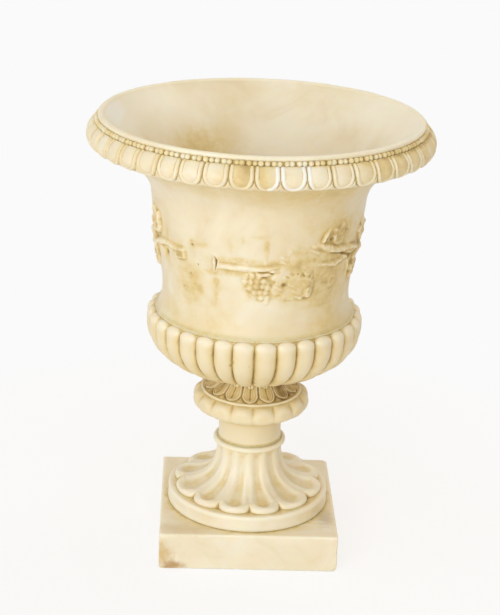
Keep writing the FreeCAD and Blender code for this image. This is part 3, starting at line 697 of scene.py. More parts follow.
class Relief:
    """Heights of carving over the bell, laid out flat: x runs round it from the front, y is the level."""

    def __init__(self, turns, levels):
        self.round = TURN * VINE_RADIUS
        self.x = ((turns - FRONT) * VINE_RADIUS)[None, :]
        self.y = levels[:, None]
        self.height = np.zeros((len(levels), len(turns)))
        self.crisp = np.zeros_like(self.height)
        self.pits = np.zeros_like(self.height)
        self.stains = np.zeros_like(self.height)
        place = spin(VINE_RADIUS, self.y, turns)
        self.coarse = noise(place, 3.4, 61)
        self.fine = noise(place, 1.4, 62)

    def offset(self, angle, level):
        """Distances round the bell, the short way, and up, from an angle in degrees and a level."""
        x = self.x - math.radians(angle) * VINE_RADIUS
        return np.mod(x + self.round / 2, self.round) - self.round / 2, self.y - level

    def add(self, height):
        self.height = np.maximum(self.height, height)

    def berry(self, angle, level, radius, height):
        x, y = self.offset(angle, level)
        self.crisp = np.maximum(self.crisp, height * rounded((x**2 + y**2) / radius**2, 0.6))

    def pit(self, angle, level, radius, depth):
        x, y = self.offset(angle, level)
        self.pits = np.maximum(self.pits, depth * np.exp(-((x**2 + y**2) / radius**2)))

    def tint(self, angle, level, wide, tall, strength):
        """A golden stain with a cloudy edge."""
        x, y = self.offset(angle, level)
        away = (x / wide) ** 2 + (y / tall) ** 2
        cloudy = 1 + 0.45 * self.coarse + 0.3 * self.fine
        self.stains = np.maximum(self.stains, strength * np.exp(-away) * cloudy)

    def blob(self, angle, level, wide, tall, height, ragged):
        """A low patch with a broken edge."""
        x, y = self.offset(angle, level)
        away = np.sqrt((x / wide) ** 2 + (y / tall) ** 2) + ragged * (self.coarse + 0.6 * self.fine)
        self.add(height * ease(1.05, 0.8, away) * (0.8 + 0.25 * self.coarse))

    def run_of(self, places, half_widths, heights, fold, ragged):
        """Heights of a smooth line through places, given as angles and levels."""
        line = np.array([(math.radians(angle) * VINE_RADIUS, level) for angle, level in places])
        if len(line) > 2:
            line = smooth_curve(line, 8 * len(line))
        share = run_along(line) / run_along(line)[-1]
        stops = np.linspace(0, 1, len(half_widths))
        best = np.zeros_like(self.height)
        for i in range(len(line) - 1):
            (x0, y0), (x1, y1) = line[i], line[i + 1]
            x = np.mod(self.x - x0 + self.round / 2, self.round) - self.round / 2
            y = self.y - y0
            dx, dy = x1 - x0, y1 - y0
            part = np.clip((x * dx + y * dy) / (dx * dx + dy * dy), 0, 1)
            along = share[i] + part * (share[i + 1] - share[i])
            half_width = np.interp(along, stops, half_widths) * (1 + ragged * (self.coarse + 0.7 * self.fine))
            away = np.hypot(x - part * dx, y - part * dy) / half_width
            best = np.maximum(best, np.interp(along, stops, heights) * rounded(away**2, fold))
        return best * (1 + 0.6 * ragged * self.coarse)

    def strand(self, places, half_widths, heights, fold=0.4, ragged=0.22):
        """A stem or ribbon along a line."""
        self.add(self.run_of(places, half_widths, heights, fold, ragged))

    def cut(self, places, half_widths, depths):
        """A dark groove along a line."""
        self.pits = np.maximum(self.pits, self.run_of(places, half_widths, depths, 0.8, 0.4))

    def crumbs(self, count, low, high, size, height):
        """Small worn lumps strewn evenly between two corners."""
        for i in range(count):
            angle = low[0] + (high[0] - low[0]) * math.modf(0.618 * i + 0.17)[0]
            level = low[1] + (high[1] - low[1]) * math.modf(0.7549 * i + 0.41)[0]
            vary = math.sin(5.1 * i)
            x, y = self.offset(angle, level)
            away = np.hypot(x / (1 + 0.25 * vary), y) / size + 0.32 * self.coarse
            self.add(height * (1 + 0.4 * math.cos(2.3 * i)) * rounded(away**2, 0.6))

    def leaf(self, angle, level, size, turn, height, ragged=0.12):
        """A vine leaf of five toothed, veined lobes; its tip points to turn, in degrees from the right."""
        x, y = self.offset(angle, level)
        far = np.hypot(x, y)
        heading = np.degrees(np.arctan2(y, x)) - turn
        heading = np.mod(heading + 180, 360) - 180
        reach = np.full(far.shape, 0.58)
        vein = np.zeros(far.shape)
        for lean, length in ((-118, 0.62), (-58, 0.86), (0, 1.0), (58, 0.86), (118, 0.62)):
            off = heading - lean
            reach = np.maximum(reach, length * near(off, 0, 30))
            across = far * np.sin(np.radians(off))
            ahead = far * np.cos(np.radians(off))
            fading = ease(0.85 * length * size, 0.0, far)
            vein = np.maximum(vein, near(across, 0, 0.5) * (ahead > 0) * fading)
        reach = reach * size * (1 + 0.09 * np.abs(np.sin(np.radians(heading * 6.5))) + ragged * self.coarse)
        away = far / reach
        body = ease(1.02, 0.86, away) * (0.62 + 0.38 * np.clip(away, 0, 1) ** 2)
        self.add(height * (body - 0.22 * vein * ease(1.0, 0.8, away)) * (0.88 + 0.2 * self.coarse))

    def grapes(self, angle, level, rows, lean, height):
        """A hanging bunch: rows of berries, fewer lower down, drifting by lean degrees a row."""
        for row, count in enumerate(rows):
            for i in range(count):
                wander = math.sin(7.1 * row + 3.3 * i + angle)
                across = (i - (count - 1) / 2) * 3.75 + lean * row + 0.45 * wander
                drop = row * 3.75 + 0.5 * math.cos(5.7 * i + 2.1 * row)
                rise = height * (1 - 0.12 * abs(i - (count - 1) / 2)) * (1 + 0.1 * wander)
                self.berry(angle + across, level - drop, BERRY_RADIUS * (1 + 0.08 * wander), rise)


# Berries of the front bunch, as they hang
FRONT_BUNCH = (
    (-7.9, 211.6), (-4.2, 211.6), (-0.6, 212.4), (-8.2, 208.0), (-5.2, 207.6), (-1.1, 208.6),
    (1.9, 208.8), (-5.4, 204.0), (-1.5, 204.8), (1.6, 205.2), (4.4, 204.0), (-2.8, 200.6),
    (0.4, 200.9), (3.4, 200.4), (1.4, 197.2), (4.4, 196.6), (4.0, 193.6),
)
# Golden stains on and round the relief: where, how wide and tall, and how strong
FRONT_STAINS = (
    (-39.1, 228.0, 2.2, 2.6, 0.42), (-33.5, 229.0, 6.0, 2.0, 0.2), (-59.5, 229.5, 2.0, 5.0, 0.26),
    (-61.9, 215.0, 2.2, 4.0, 0.36), (-48.5, 219.5, 4.0, 4.5, 0.3), (-76.0, 226.0, 6.0, 12.0, 0.24),
    (-84.0, 206.0, 7.0, 8.0, 0.45), (-42.3, 206.2, 3.0, 2.5, 0.2), (-48.3, 196.5, 4.0, 3.0, 0.18),
    (-38.5, 197.5, 4.5, 3.0, 0.22), (-26.0, 211.6, 5.0, 2.4, 0.32), (-24.4, 204.0, 3.0, 5.0, 0.22),
    (-25.0, 196.0, 2.0, 5.0, 0.16), (-12.0, 221.6, 17.0, 2.6, 0.26), (-12.0, 212.6, 17.0, 2.0, 0.2),
    (-16.5, 231.0, 2.0, 6.0, 0.14), (-9.5, 236.5, 1.6, 2.4, 0.18), (2.8, 231.0, 1.7, 9.0, 0.24),
    (0.0, 238.6, 6.0, 1.4, 0.14), (8.0, 219.5, 6.0, 3.0, 0.34), (-2.0, 204.0, 8.0, 9.0, 0.26),
    (13.5, 205.4, 2.4, 2.2, 0.55), (20.0, 204.0, 15.0, 11.0, 0.12), (22.0, 221.0, 14.0, 11.0, 0.1),
    (-42.0, 210.0, 8.0, 5.0, 0.1), (42.0, 208.0, 18.0, 20.0, 0.25), (47.0, 236.0, 12.0, 8.0, 0.3),
    (60.0, 217.5, 5.0, 4.0, 0.5), (70.0, 214.0, 12.0, 20.0, 0.26), (40.0, 222.0, 9.0, 3.0, 0.2),
)

# Leaves that still stand out: where, how big, which way they point and how high
FRONT_LEAVES = (
    (46.0, 234.0, 9.5, 70.0, 1.35), (74.0, 229.5, 10.5, 100.0, 3.2), (71.0, 206.5, 9.5, 235.0, 2.7),
    (-72.0, 232.0, 12.0, 110.0, 3.5),
)
# Leaves rubbed down to a trace
RUBBED_LEAVES = (
    (-16.0, 233.0, 9.0, 100.0, 0.35), (-40.0, 201.0, 9.0, 250.0, 0.45),
    (-26.0, 202.0, 5.0, 260.0, 0.35), (-31.0, 224.0, 6.0, 60.0, 0.25), (8.0, 232.0, 7.0, 60.0, 0.25),
)
# Low mounds at and beside the bunch: where, how wide, tall and high
FRONT_MOUNDS = (
    (-1.0, 205.0, 7.5, 9.5, 1.0), (12.0, 203.5, 7.0, 6.0, 1.2), (20.0, 204.5, 7.0, 8.0, 1.4),
    (26.5, 205.0, 6.5, 9.0, 1.5), (18.0, 197.6, 8.0, 2.6, 1.2), (11.0, 210.4, 5.0, 3.0, 1.2),
    (23.0, 219.0, 12.0, 9.0, 0.55), (20.0, 228.0, 7.0, 4.0, 0.35),
)
# Drilled holes and chips: where, how wide and how deep
FRONT_PITS = (
    (13.5, 205.6, 1.2, 1.3), (21.4, 212.6, 0.8, 0.7), (25.0, 211.0, 0.8, 0.7), (40.6, 233.0, 1.0, 2.2),
    (60.2, 216.9, 1.7, 2.0), (-84.0, 230.6, 1.2, 2.6), (-72.3, 229.6, 1.1, 2.4),
    (-61.9, 215.4, 1.5, 1.6), (-39.1, 227.6, 1.0, 0.8), (-36.1, 214.4, 0.55, 0.9),
    (-42.0, 206.6, 0.7, 0.45), (-48.3, 196.0, 0.6, 0.4),
)


def front_vine(relief):
    """The front of the frieze, worn: a broken branch, a bunch, and ribbons and leaves at the sides."""
    for stain in FRONT_STAINS:
        relief.tint(*stain)
    relief.strand(
        [(-23.6, 216.7), (-10.0, 216.8), (2.0, 217.0), (11.0, 218.9)],
        (1.75, 1.7, 1.5, 0.9), (1.9, 1.8, 1.4, 0.5), 0.3, 0.12,
    )
    relief.strand(
        [(-25.6, 224.0), (-24.6, 219.0), (-25.6, 212.2)],
        (0.7, 1.7, 0.8), (1.4, 2.6, 1.2), 0.4, 0.45,
    )
    relief.cut(
        [(-25.6, 223.2), (-24.2, 220.6), (-24.4, 216.6), (-25.2, 213.0)],
        (0.35, 0.75, 0.55, 0.3), (0.8, 2.4, 2.0, 0.7),
    )
    relief.strand([(2.4, 239.2), (3.0, 231.0), (2.6, 221.0)], (0.6, 0.9, 0.9), (0.25, 0.45, 0.6), 0.6, 0.4)
    relief.strand([(-1.6, 214.0), (2.6, 213.2), (7.4, 215.8)], (0.9, 1.0, 0.9), (1.3, 1.5, 1.2))
    relief.cut(
        [(-1.4, 215.4), (2.0, 214.9), (5.4, 214.6), (7.0, 213.6)],
        (0.35, 0.4, 0.5, 0.8), (0.5, 0.8, 1.0, 1.6),
    )
    for angle, level in FRONT_BUNCH:
        relief.berry(angle, level, BERRY_RADIUS, 0.95 + 0.03 * angle + 0.2 * math.sin(3 * angle + level))
    for mound in FRONT_MOUNDS:
        relief.blob(*mound, 0.42)
    relief.blob(28.8, 199.4, 3.2, 4.4, 2.9, 0.1)
    relief.crumbs(48, (9.0, 194.8), (29.5, 213.0), 1.0, 1.5)
    relief.crumbs(52, (11.0, 212.0), (33.0, 231.0), 1.0, 0.8)
    # Right: a curled leaf, and ribbons that meet at the side
    relief.strand([(39.4, 241.0), (36.6, 237.6), (34.6, 233.0)], (0.5, 1.3, 1.1), (1.0, 2.2, 1.8))
    relief.strand(
        [(31.6, 231.8), (37.0, 228.4), (45.4, 225.2), (56.0, 223.6), (69.0, 220.6)],
        (1.2, 2.3, 2.0, 1.6, 1.7), (0.9, 1.7, 1.8, 2.1, 2.8), 0.35, 0.3,
    )
    relief.cut([(40.0, 224.4), (48.0, 221.8), (58.0, 218.6)], (0.5, 0.7, 1.2), (0.4, 0.8, 1.4))
    relief.strand(
        [(31.0, 218.0), (39.0, 216.2), (47.0, 215.9), (56.0, 219.0), (66.0, 221.0)],
        (0.9, 1.7, 1.8, 1.4), (0.6, 1.2, 1.5, 2.3), 0.35, 0.3,
    )
    relief.strand([(58.0, 215.0), (61.0, 209.0), (61.5, 202.0)], (1.2, 1.4, 0.8), (1.6, 1.6, 0.8))
    relief.strand([(66.0, 214.0), (72.0, 218.0), (78.0, 219.0)], (1.6, 1.8, 1.8), (2.2, 3.0, 3.0))
    ring = [(46.5 + 2.1 * math.sin(turn), 203.5 + 3.4 * math.cos(turn)) for turn in np.linspace(0, TURN, 9)]
    relief.strand(ring, (0.8, 0.8), (0.75, 0.75))
    relief.strand(
        [(49.6, 207.0), (51.0, 200.5), (46.0, 196.0), (39.6, 195.4)],
        (0.8, 0.9, 0.7), (0.3, 0.5, 0.25),
    )
    # Left: a leaf at the side, a forked stem with a squared end, and what is left of other leaves
    relief.strand(
        [(-78.0, 217.4), (-70.0, 219.8), (-61.0, 222.0), (-50.0, 220.6)],
        (1.9, 2.0, 1.6, 1.7), (3.0, 2.5, 1.7, 1.5), 0.35, 0.3,
    )
    relief.strand(
        [(-71.0, 219.0), (-66.0, 213.0), (-63.0, 208.4)],
        (2.2, 1.9, 1.0), (2.2, 1.5, 0.5), 0.35, 0.3,
    )
    for rise in (-2.2, 0.0, 2.2):
        relief.strand([(-51.6, 218.4 + rise), (-45.8, 219.6 + rise)], (1.5, 1.5), (1.9, 1.6), 0.25, 0.1)
    relief.blob(-83.5, 206.5, 6.0, 7.0, 3.2, 0.15)
    relief.strand([(-40.4, 228.2), (-36.0, 229.2), (-29.0, 229.4)], (1.3, 1.0, 0.7), (0.7, 0.45, 0.2))
    for leaf in FRONT_LEAVES:
        relief.leaf(*leaf)
    for leaf in RUBBED_LEAVES:
        relief.leaf(*leaf, 0.3)
    for pit in FRONT_PITS:
        relief.pit(*pit)


def back_vine(relief):
    """The rest of the frieze: a winding branch, leaves above and below it by turns, bunches and tendrils."""
    steps = 7
    first, last = 84.0, 276.0
    pace = (last - first) / steps
    line = [(first - 10.0, 219.0)]
    for step in range(steps + 1):
        angle = first + step * pace
        line.append((angle, 218.5 + (4.0 if step % 2 else -3.5)))
    line.append((last + 8.0, 219.0))
    relief.strand(line, (1.5, 1.8, 1.6, 1.7, 1.5), (3.0, 2.6, 2.9, 2.5, 3.1), 0.4, 0.12)
    for step in range(steps):
        angle = first + (step + 0.5) * pace
        up = 1 if step % 2 else -1
        wander = 3.0 * math.sin(2.3 * step)
        height = (2.9, 1.1, 2.6, 3.0, 0.8, 2.7, 2.2)[step]
        relief.leaf(angle + wander, 219.0 + up * 14.0, 11.0 + 0.25 * wander, up * 90 + 5 * wander, height)
        relief.strand(
            [(angle - 6, 218.5), (angle - 2, 219 + up * 5), (angle + wander, 219 + up * 10)],
            (1.3, 1.0, 0.8), (2.2, 1.8, height),
        )
        if step in (1, 4, 6):
            relief.grapes(angle + 3, 211.5 - 1.0 * (step == 4), (4, 4, 3, 2, 1), 0.5, 2.3)
        else:
            bends = ((7, 0), (10, 6), (6.5, 10), (3.5, 7.5))
            curl = [(angle + ahead, 218.5 - up * drop) for ahead, drop in bends]
            relief.strand(curl, (0.9, 0.8, 0.6), (1.7, 1.5, 1.0), 0.5, 0.15)
        relief.leaf(angle + 13.0, 219.0 + up * 11.0, 7.0, up * 60, 0.7 * height, 0.2)
        relief.pit(angle + wander - 4, 219.0 + up * 9.0, 1.0, 1.6)


def vine_relief(turns, levels):
    """Height of the frieze over the bell, rubbed soft and crumbled, and how much of a stain it leaves."""
    relief = Relief(turns, levels)
    front_vine(relief)
    back_vine(relief)
    wear_and_highlight = 0.85 + 0.3 * noise(spin(VINE_RADIUS, relief.y, turns), 9.0, 63)
    rubbed = softened((relief.height * wear_and_highlight)[..., None], 1.9, 1.4)[..., 0]
    crisp = softened((relief.crisp * (1 + 0.25 * relief.coarse))[..., None], 1.2, 1.0)[..., 0]
    cover = softened(ease(0.05, 0.5, relief.height)[..., None], 10.0, 8.0)[..., 0]
    rough = (0.22 * relief.coarse + 0.2 * relief.fine) * ease(0.1, 0.9, rubbed) * ease(1.4, 0.1, crisp)
    height = rubbed + crisp + rough - relief.pits
    stain = cover * (0.15 + 0.12 * relief.coarse) + relief.stains + 0.22 * relief.pits
    return height, np.clip(stain, 0, 1)


def rows_between(curve, low, high, step):
    """Evenly spaced points of a rising curve from one level up to another, without the last."""
    run = run_along(curve)
    start, end = np.interp((low, high), curve[:, 1], run)
    even = np.linspace(start, end, int(round((end - start) / step)), endpoint=False)
    return np.column_stack((np.interp(even, run, curve[:, 0]), np.interp(even, run, curve[:, 1])))


# Egg borders made plain white in this stretch of degrees from the front
WHITE_FROM, WHITE_TO = 0.2, 14.4


def egg_band(turns, across, width):
    """The rim's band of eggs, each in a rounded border, with darts and drilled dots between them."""
    band = smooth_curve(
        [
            (103.6, 279.4), (106.6, 280.3), (109.5, 281.9), (111.2, 284.3), (111.5, 287.0),
            (110.5, 290.0), (108.6, 292.4), (106.6, 294.0),
        ],
        60,
    )
    run = run_along(band)[:, None]
    half = band[:, :1] * np.radians(width)[None, :] / 2
    x = np.abs(across)[None, :] * half
    reach = half - 0.45
    stretch = 1.2
    middle = 5.0 + stretch * reach
    dome = np.where(run < middle, np.hypot(x, (middle - run) / stretch), x)
    inside = reach - dome
    border = 1.6 * rounded(((inside - 1.2) / 1.5) ** 2, 0.7)
    centre = ease(1.4, 3.0, inside) * (1.12 + 0.4 * ease(2.6, 6.5, inside))
    gap = -0.7 * near(inside, -0.3, 0.42)
    from_notch = half - x
    web = 0.95 * ease(-0.35, -0.9, inside) * ease(0.2, 1.0, run)
    slot = -0.7 * near(from_notch, 0, 0.4) * ease(6.5, 4.5, run) * ease(0.3, 1.0, run)
    drill = -1.2 * near(np.hypot(from_notch - 1.9, run - 4.0), 0, 0.55)
    height = (np.maximum(border, centre) + web + gap + slot + drill) * ease(0.0, 0.5, run[-1] - run)
    eggs = hand_cut(turned(band, turns, height), 0.12, 51)
    over = np.hypot(eggs[..., 0], eggs[..., 1]) / (RIM_RADIUS - 0.3)
    eggs[..., :2] /= np.maximum(over, 1.0)[..., None]
    # Painted shade in the strip under the beads and along the bottom, under the eggs.
    more = 0.22 * ease(run[-1] - 3.0, run[-1], run) + 0.14 * ease(6.0, 1.0, run)
    angle = bearing(turns)[None, :]
    not_behind = ease(165.0, 110.0, np.abs(angle))
    grey = near(angle, -5, 6)
    # Egg faces dulled at random, greyer at the front, and darker on the right, which is painted shade.
    dull_and_shaded = 0.04 + 0.1 * noise(eggs, 13.0, 58) + 0.46 * grey + 0.22 * ease(18, 40, angle) * not_behind
    more = more + np.clip(dull_and_shaded, 0, 1) * ease(2.0, 3.0, inside)
    more = more + (0.08 + 0.05 * noise(eggs, 5.0, 60)) * ease(2.6, 1.8, inside)
    # Painted shade in the recess over the eggs, on the right.
    more = more + 0.3 * not_behind * ease(28, 60, angle) * ease(run[-1] - 4.0, run[-1] - 0.5, run)
    speck = near(np.hypot(from_notch, run - 1.6), 0, 0.9) * (noise(eggs, 9.0, 66) > 0.05)
    more = more + 0.7 * speck * ease(-40, -58, angle) * not_behind
    points, dirt_and_shade, wear_and_highlight = carved(eggs, more, reach=0.8, strength=0.7)
    pale_face = (0.4 * ease(-22, -42, angle) * not_behind + 0.2 * grey) * ease(2.2, 3.4, inside)
    white = (angle > WHITE_FROM) & (angle < WHITE_TO) & (inside > -0.1) & (inside < 2.5)
    return points, np.where(white, 0.0, dirt_and_shade), np.where(white, 1.0, np.maximum(0.3 * wear_and_highlight, pale_face))


def build_bell():
    """Bell with its worn vine, flowing into the flared rim with its eggs, lip and mouth."""
    notches = even_notches(45, 0.12, 5.0) + 4.1
    turns, across, width = lobed_columns(notches, 32)
    half_as_many, few = turns[::2], turns[::4]
    outline = smooth_curve(BELL_OUTLINE, 900)
    low = rows_between(outline, 168.7, 187.0, 0.8)
    frieze = rows_between(outline, 187.0, 247.0, 0.36)
    cove = rows_between(outline, 247.0, 279.0, 0.75)
    height, stain = vine_relief(turns, frieze[:, 1])
    carving = hand_cut(turned(frieze, turns, height), 0.18, 41)
    edge = [(65.8, BELL_SEAT), (66.1, 168.34), (66.2, 168.5)]
    spigot = [(BELL_BORE, BELL_SPIGOT_END), (BELL_SPIGOT, BELL_SPIGOT_END), (BELL_SPIGOT, BELL_SEAT)]
    groove = [(106.3, 294.1), (105.6, 294.5), (105.0, 295.2), (104.9, 296.2), (104.9, 296.9)]
    lip = smooth_curve(
        [
            (105.2, 297.2), (105.6, 297.8), (105.6, 298.9), (105.0, 299.7), (103.7, 299.9),
            (102.3, 299.6), (101.5, 298.9),
        ], 14,
    )
    inside = smooth_curve(
        [
            (101.0, 298.2), (96.5, 294.0), (88.0, 286.5), (78.6, 276.6), (70.5, 265.2), (65.2, 256.5),
            (62.3, 249.0), (60.3, 235.0), (58.0, 215.3), (55.4, 195.0), (54.0, 180.0),
            (BELL_BORE, BELL_SEAT),
        ],
        120,
    )
    level = inside[:, 1:]
    # Painted light in the mouth: painted highlight near the lip but not at the back, and a painted pool of
    # light deep down at the back; painted shade low on the left of the far wall and high at the back.
    facing = (np.degrees(few - FRONT) % 360)[None, :]
    back = near(facing, 176, 54)
    deep = near(facing, 163, 30) * ease(284.0, 272.0, level)
    wear_and_highlight = ease(72.0, 96.0, inside[:, :1]) * (1 - back) + 0.6 * deep
    near_left = near(facing, 262, 20) * ease(82.0, 95.0, inside[:, :1])
    wear_and_highlight = np.minimum(wear_and_highlight, 0.86) + 0.1 * near_left
    mouth = pale_wear_and_highlight(hand_cut(turned(inside, few), 0.25, 57), wear_and_highlight)
    shade = near(facing, 216, 27) * ease(288.0, 260.0, level)
    shade = 0.34 * shade + 0.08 * back * ease(280.0, 290.0, level)
    mouth[1][...] = np.clip(shade + 0.06 * noise(mouth[0], 17.0, 59) * (1 - deep), 0, 1)
    bands = [
        plain_rings(edge, half_as_many, 0.2),
        clouded_and_shaded(hand_cut(turned(low, half_as_many), 0.25, 43), 0.14 * ease(171.2, 168.8, low[:, 1:])),
        carved(carving, clouds_and_shade(carving, stain), reach=0.8, strength=0.55),
        # Painted shade under the rim: the cove darkens towards its top.
        clouded_and_shaded(hand_cut(turned(cove, half_as_many), 0.3, 45), ease(255.0, 274.0, cove[:, 1:]) * 0.18),
        egg_band(turns, across, width),
        plain_rings(groove, half_as_many, 0.45),
        # The lip is paler: wear, and a painted highlight.
        pale_wear_and_highlight(hand_cut(turned(lip, half_as_many), 0.08, 55), 0.4),
        mouth,
        plain_rings(spigot, few),
    ]
    return turned_mesh("bell_and_rim", bands)


def build_beads():
    """Row of small carved beads round the rim, under the lip."""
    count = 180
    ring_radius, ring_level = 106.0, 295.75
    half_size = np.array([1.86, 1.8, 1.75])
    long_steps, round_steps = 8, 12
    polar = np.linspace(0.16, math.pi - 0.16, long_steps)
    girth = TURN * np.arange(round_steps) / round_steps
    ball = np.stack(
        (
            np.cos(polar)[:, None] * np.ones(round_steps),
            np.sin(polar)[:, None] * np.cos(girth),
            np.sin(polar)[:, None] * np.sin(girth),
        ),
        axis=-1,
    ).reshape(-1, 3)
    points, faces, bead_dirt_and_shade = [], [], []
    for bead in range(count):
        turn = FRONT + TURN * (bead + 0.12 * math.sin(bead * 2.7)) / count
        size = 1.0 + 0.06 * math.sin(bead * 1.9) + 0.04 * math.sin(bead * 4.3)
        along = np.array([-math.sin(turn), math.cos(turn), 0.0])
        outward = np.array([math.cos(turn), math.sin(turn), 0.0])
        upright = np.array([0.0, 0.0, 1.0])
        middle = outward * ring_radius + upright * ring_level
        shape = ball * half_size * size
        place = middle + shape[:, :1] * along + shape[:, 1:2] * outward + shape[:, 2:] * upright
        start = len(points) * len(ball)
        points.append(place)
        around = bearing(turn)
        # Grime that varies from bead to bead, with painted shade: darker where the beads meet and on the
        # right, and paler outward faces as painted highlight.
        grime_and_shade = 0.2 + 0.08 * math.sin(bead * 0.9) + 0.14 * near(around, -7, 7)
        grime_and_shade += 0.16 * near(around, 55, 22)
        bead_dirt_and_shade.append(grime_and_shade + 0.25 * np.abs(ball[:, 0]) ** 3 - 0.12 * np.clip(ball[:, 1], 0, 1))
        for step in range(long_steps - 1):
            for spoke in range(round_steps):
                low = start + step * round_steps
                after = (spoke + 1) % round_steps
                faces.append((low + after, low + spoke, low + round_steps + spoke, low + round_steps + after))
        faces.append(tuple(start + spoke for spoke in range(round_steps)))
        last = start + (long_steps - 1) * round_steps
        faces.append(tuple(last + spoke for spoke in reversed(range(round_steps))))
    dirt_and_shade = np.clip(np.concatenate(bead_dirt_and_shade), 0, 1)
    return make_piece("bead_row", np.concatenate(points), faces, dirt_and_shade, np.zeros(len(dirt_and_shade)))


class Nodes:
    """A node tree, with short calls to add and join nodes."""

    def __init__(self, tree):
        self.tree = tree

    def add(self, kind, settings=None, **inputs):
        node = self.tree.nodes.new(kind)
        for key, value in (settings or {}).items():
            setattr(node, key, value)
        for key, value in inputs.items():
            self.feed(node, key.replace("_", " "), value)
        return node

    def feed(self, node, socket, value):
        if isinstance(value, bpy.types.NodeSocket):
            self.tree.links.new(value, node.inputs[socket])
        else:
            node.inputs[socket].default_value = value

    def math(self, operation, one, two):
        node = self.add("ShaderNodeMath", {"operation": operation})
        self.feed(node, 0, one)
        self.feed(node, 1, two)
        return node.outputs[0]

    def product(self, one, two):
        return self.math("MULTIPLY", one, two)

    def vector(self, operation, one, two=(0.0, 0.0, 0.0)):
        node = self.add("ShaderNodeVectorMath", {"operation": operation})
        self.feed(node, 0, one)
        self.feed(node, 1, two)
        return node

    def mix(self, share, one, two):
        """One colour going over into another."""
        node = self.add("ShaderNodeMix", {"data_type": "RGBA"})
        self.feed(node, 0, share)
        self.feed(node, 6, one)
        self.feed(node, 7, two)
        return node.outputs[2]

    def either(self, share, one, two):
        """One shader going over into another."""
        node = self.add("ShaderNodeMixShader")
        for place, value in enumerate((share, one, two)):
            self.feed(node, place, value)
        return node.outputs[0]

    def seen_directly(self):
        """1 for rays that look straight, mirrored or through clear stone, and 0 for light on other things."""
        path = self.add("ShaderNodeLightPath")
        direct = self.math("MAXIMUM", path.outputs["Is Camera Ray"], path.outputs["Is Glossy Ray"])
        return self.math("MAXIMUM", direct, path.outputs["Is Transmission Ray"])


class Shader(Nodes):
    """A material, with what its patterns are made of."""

    def __init__(self, name):
        self.material = bpy.data.materials.new(name)
        self.material.use_nodes = True
        super().__init__(self.material.node_tree)
        self.surface = self.tree.nodes["Principled BSDF"]

    def set(self, **inputs):
        for key, value in inputs.items():
            self.feed(self.surface, key.replace("_", " "), value)

    def place(self):
        return self.add("ShaderNodeTexCoord").outputs["Object"]

    def noise(self, scale, detail=3.0, roughness=0.55, distortion=0.0, offset=0.0):
        """Clouds from 0 to 1; an offset takes them from another part of the pattern."""
        place = self.place()
        if offset:
            place = self.vector("ADD", place, (offset, offset * 0.7, offset * 1.3)).outputs[0]
        shape = {"Scale": scale, "Detail": detail, "Roughness": roughness, "Distortion": distortion}
        return self.add("ShaderNodeTexNoise", Vector=place, **shape).outputs["Fac"]

    def ramp(self, value, low, high):
        """0 at low, 1 at high, and a smooth step between."""
        node = self.add("ShaderNodeMapRange", {"interpolation_type": "SMOOTHSTEP"}, Value=value)
        self.feed(node, "From Min", low)
        self.feed(node, "From Max", high)
        return node.outputs["Result"]

    def tinted(self, base, share, strength, tint):
        """The base colour under a share of a tint."""
        return self.mix(self.product(share, strength), base, tint)

    def point_value(self, name):
        node = self.add("ShaderNodeAttribute", {"attribute_name": name, "attribute_type": "GEOMETRY"})
        return node.outputs["Fac"]

    def yellower_by_level(self):
        """How much yellower the colour is by level: most over the bowl and collar, least over the plinth and
        the mouth.
        """
        level = self.add("ShaderNodeSeparateXYZ", Vector=self.place()).outputs["Z"]
        rising = self.ramp(level, 0.050, 0.095)
        falling = self.ramp(level, 0.185, 0.155)
        return self.product(self.product(rising, falling), 0.5)

    def blotch(self, place, reach, edge):
        """1 in a cloudy-edged patch round a place, 0 outside it; reach is its half-size each way."""
        away = self.vector("SUBTRACT", self.place(), place).outputs[0]
        stretched = self.vector("DIVIDE", away, reach).outputs[0]
        far = self.vector("LENGTH", stretched).outputs["Value"]
        cloudy = self.math("ADD", far, self.product(self.noise(170.0, 4.0, 0.6, 0.6, 9.1), edge))
        return self.ramp(cloudy, 1.1 + 0.5 * edge, 0.1 + 0.5 * edge)

    def shade_round_foot(self):
        """Painted shade on top of the plinth, close round the foot's disc and faint farther out."""
        spot = self.add("ShaderNodeSeparateXYZ", Vector=self.place())
        flat = self.add("ShaderNodeCombineXYZ", X=spot.outputs["X"], Y=spot.outputs["Y"])
        out = self.vector("LENGTH", flat.outputs[0]).outputs["Value"]
        far = self.math("ADD", out, self.product(self.noise(110.0, 3.0, 0.6, 0.0, 2.3), 0.004))
        close = self.product(self.ramp(far, 0.0602, 0.0568), 0.3)
        broad = self.product(self.ramp(far, 0.074, 0.058), 0.16)
        low = self.ramp(spot.outputs["Z"], 0.0266, 0.0262)
        high = self.ramp(spot.outputs["Z"], 0.0250, 0.0258)
        return self.product(self.product(low, high), self.math("ADD", close, broad))

    def scratches(self):
        """Fine pale scratches that run slantwise over a level face."""
        slant = self.add("ShaderNodeMapping", Vector=self.place())
        slant.inputs["Rotation"].default_value = (0.0, 0.0, math.radians(-32))
        slant.inputs["Scale"].default_value = (90.0, 700.0, 90.0)
        node = self.add("ShaderNodeTexNoise", Vector=slant.outputs[0], Scale=1.0, Detail=2.0)
        return self.product(self.ramp(node.outputs["Fac"], 0.5, 0.62), 0.8)

    def bump(self, height, strength, distance):
        node = self.add("ShaderNodeBump", Height=height, Strength=strength, Distance=distance)
        return node.outputs["Normal"]


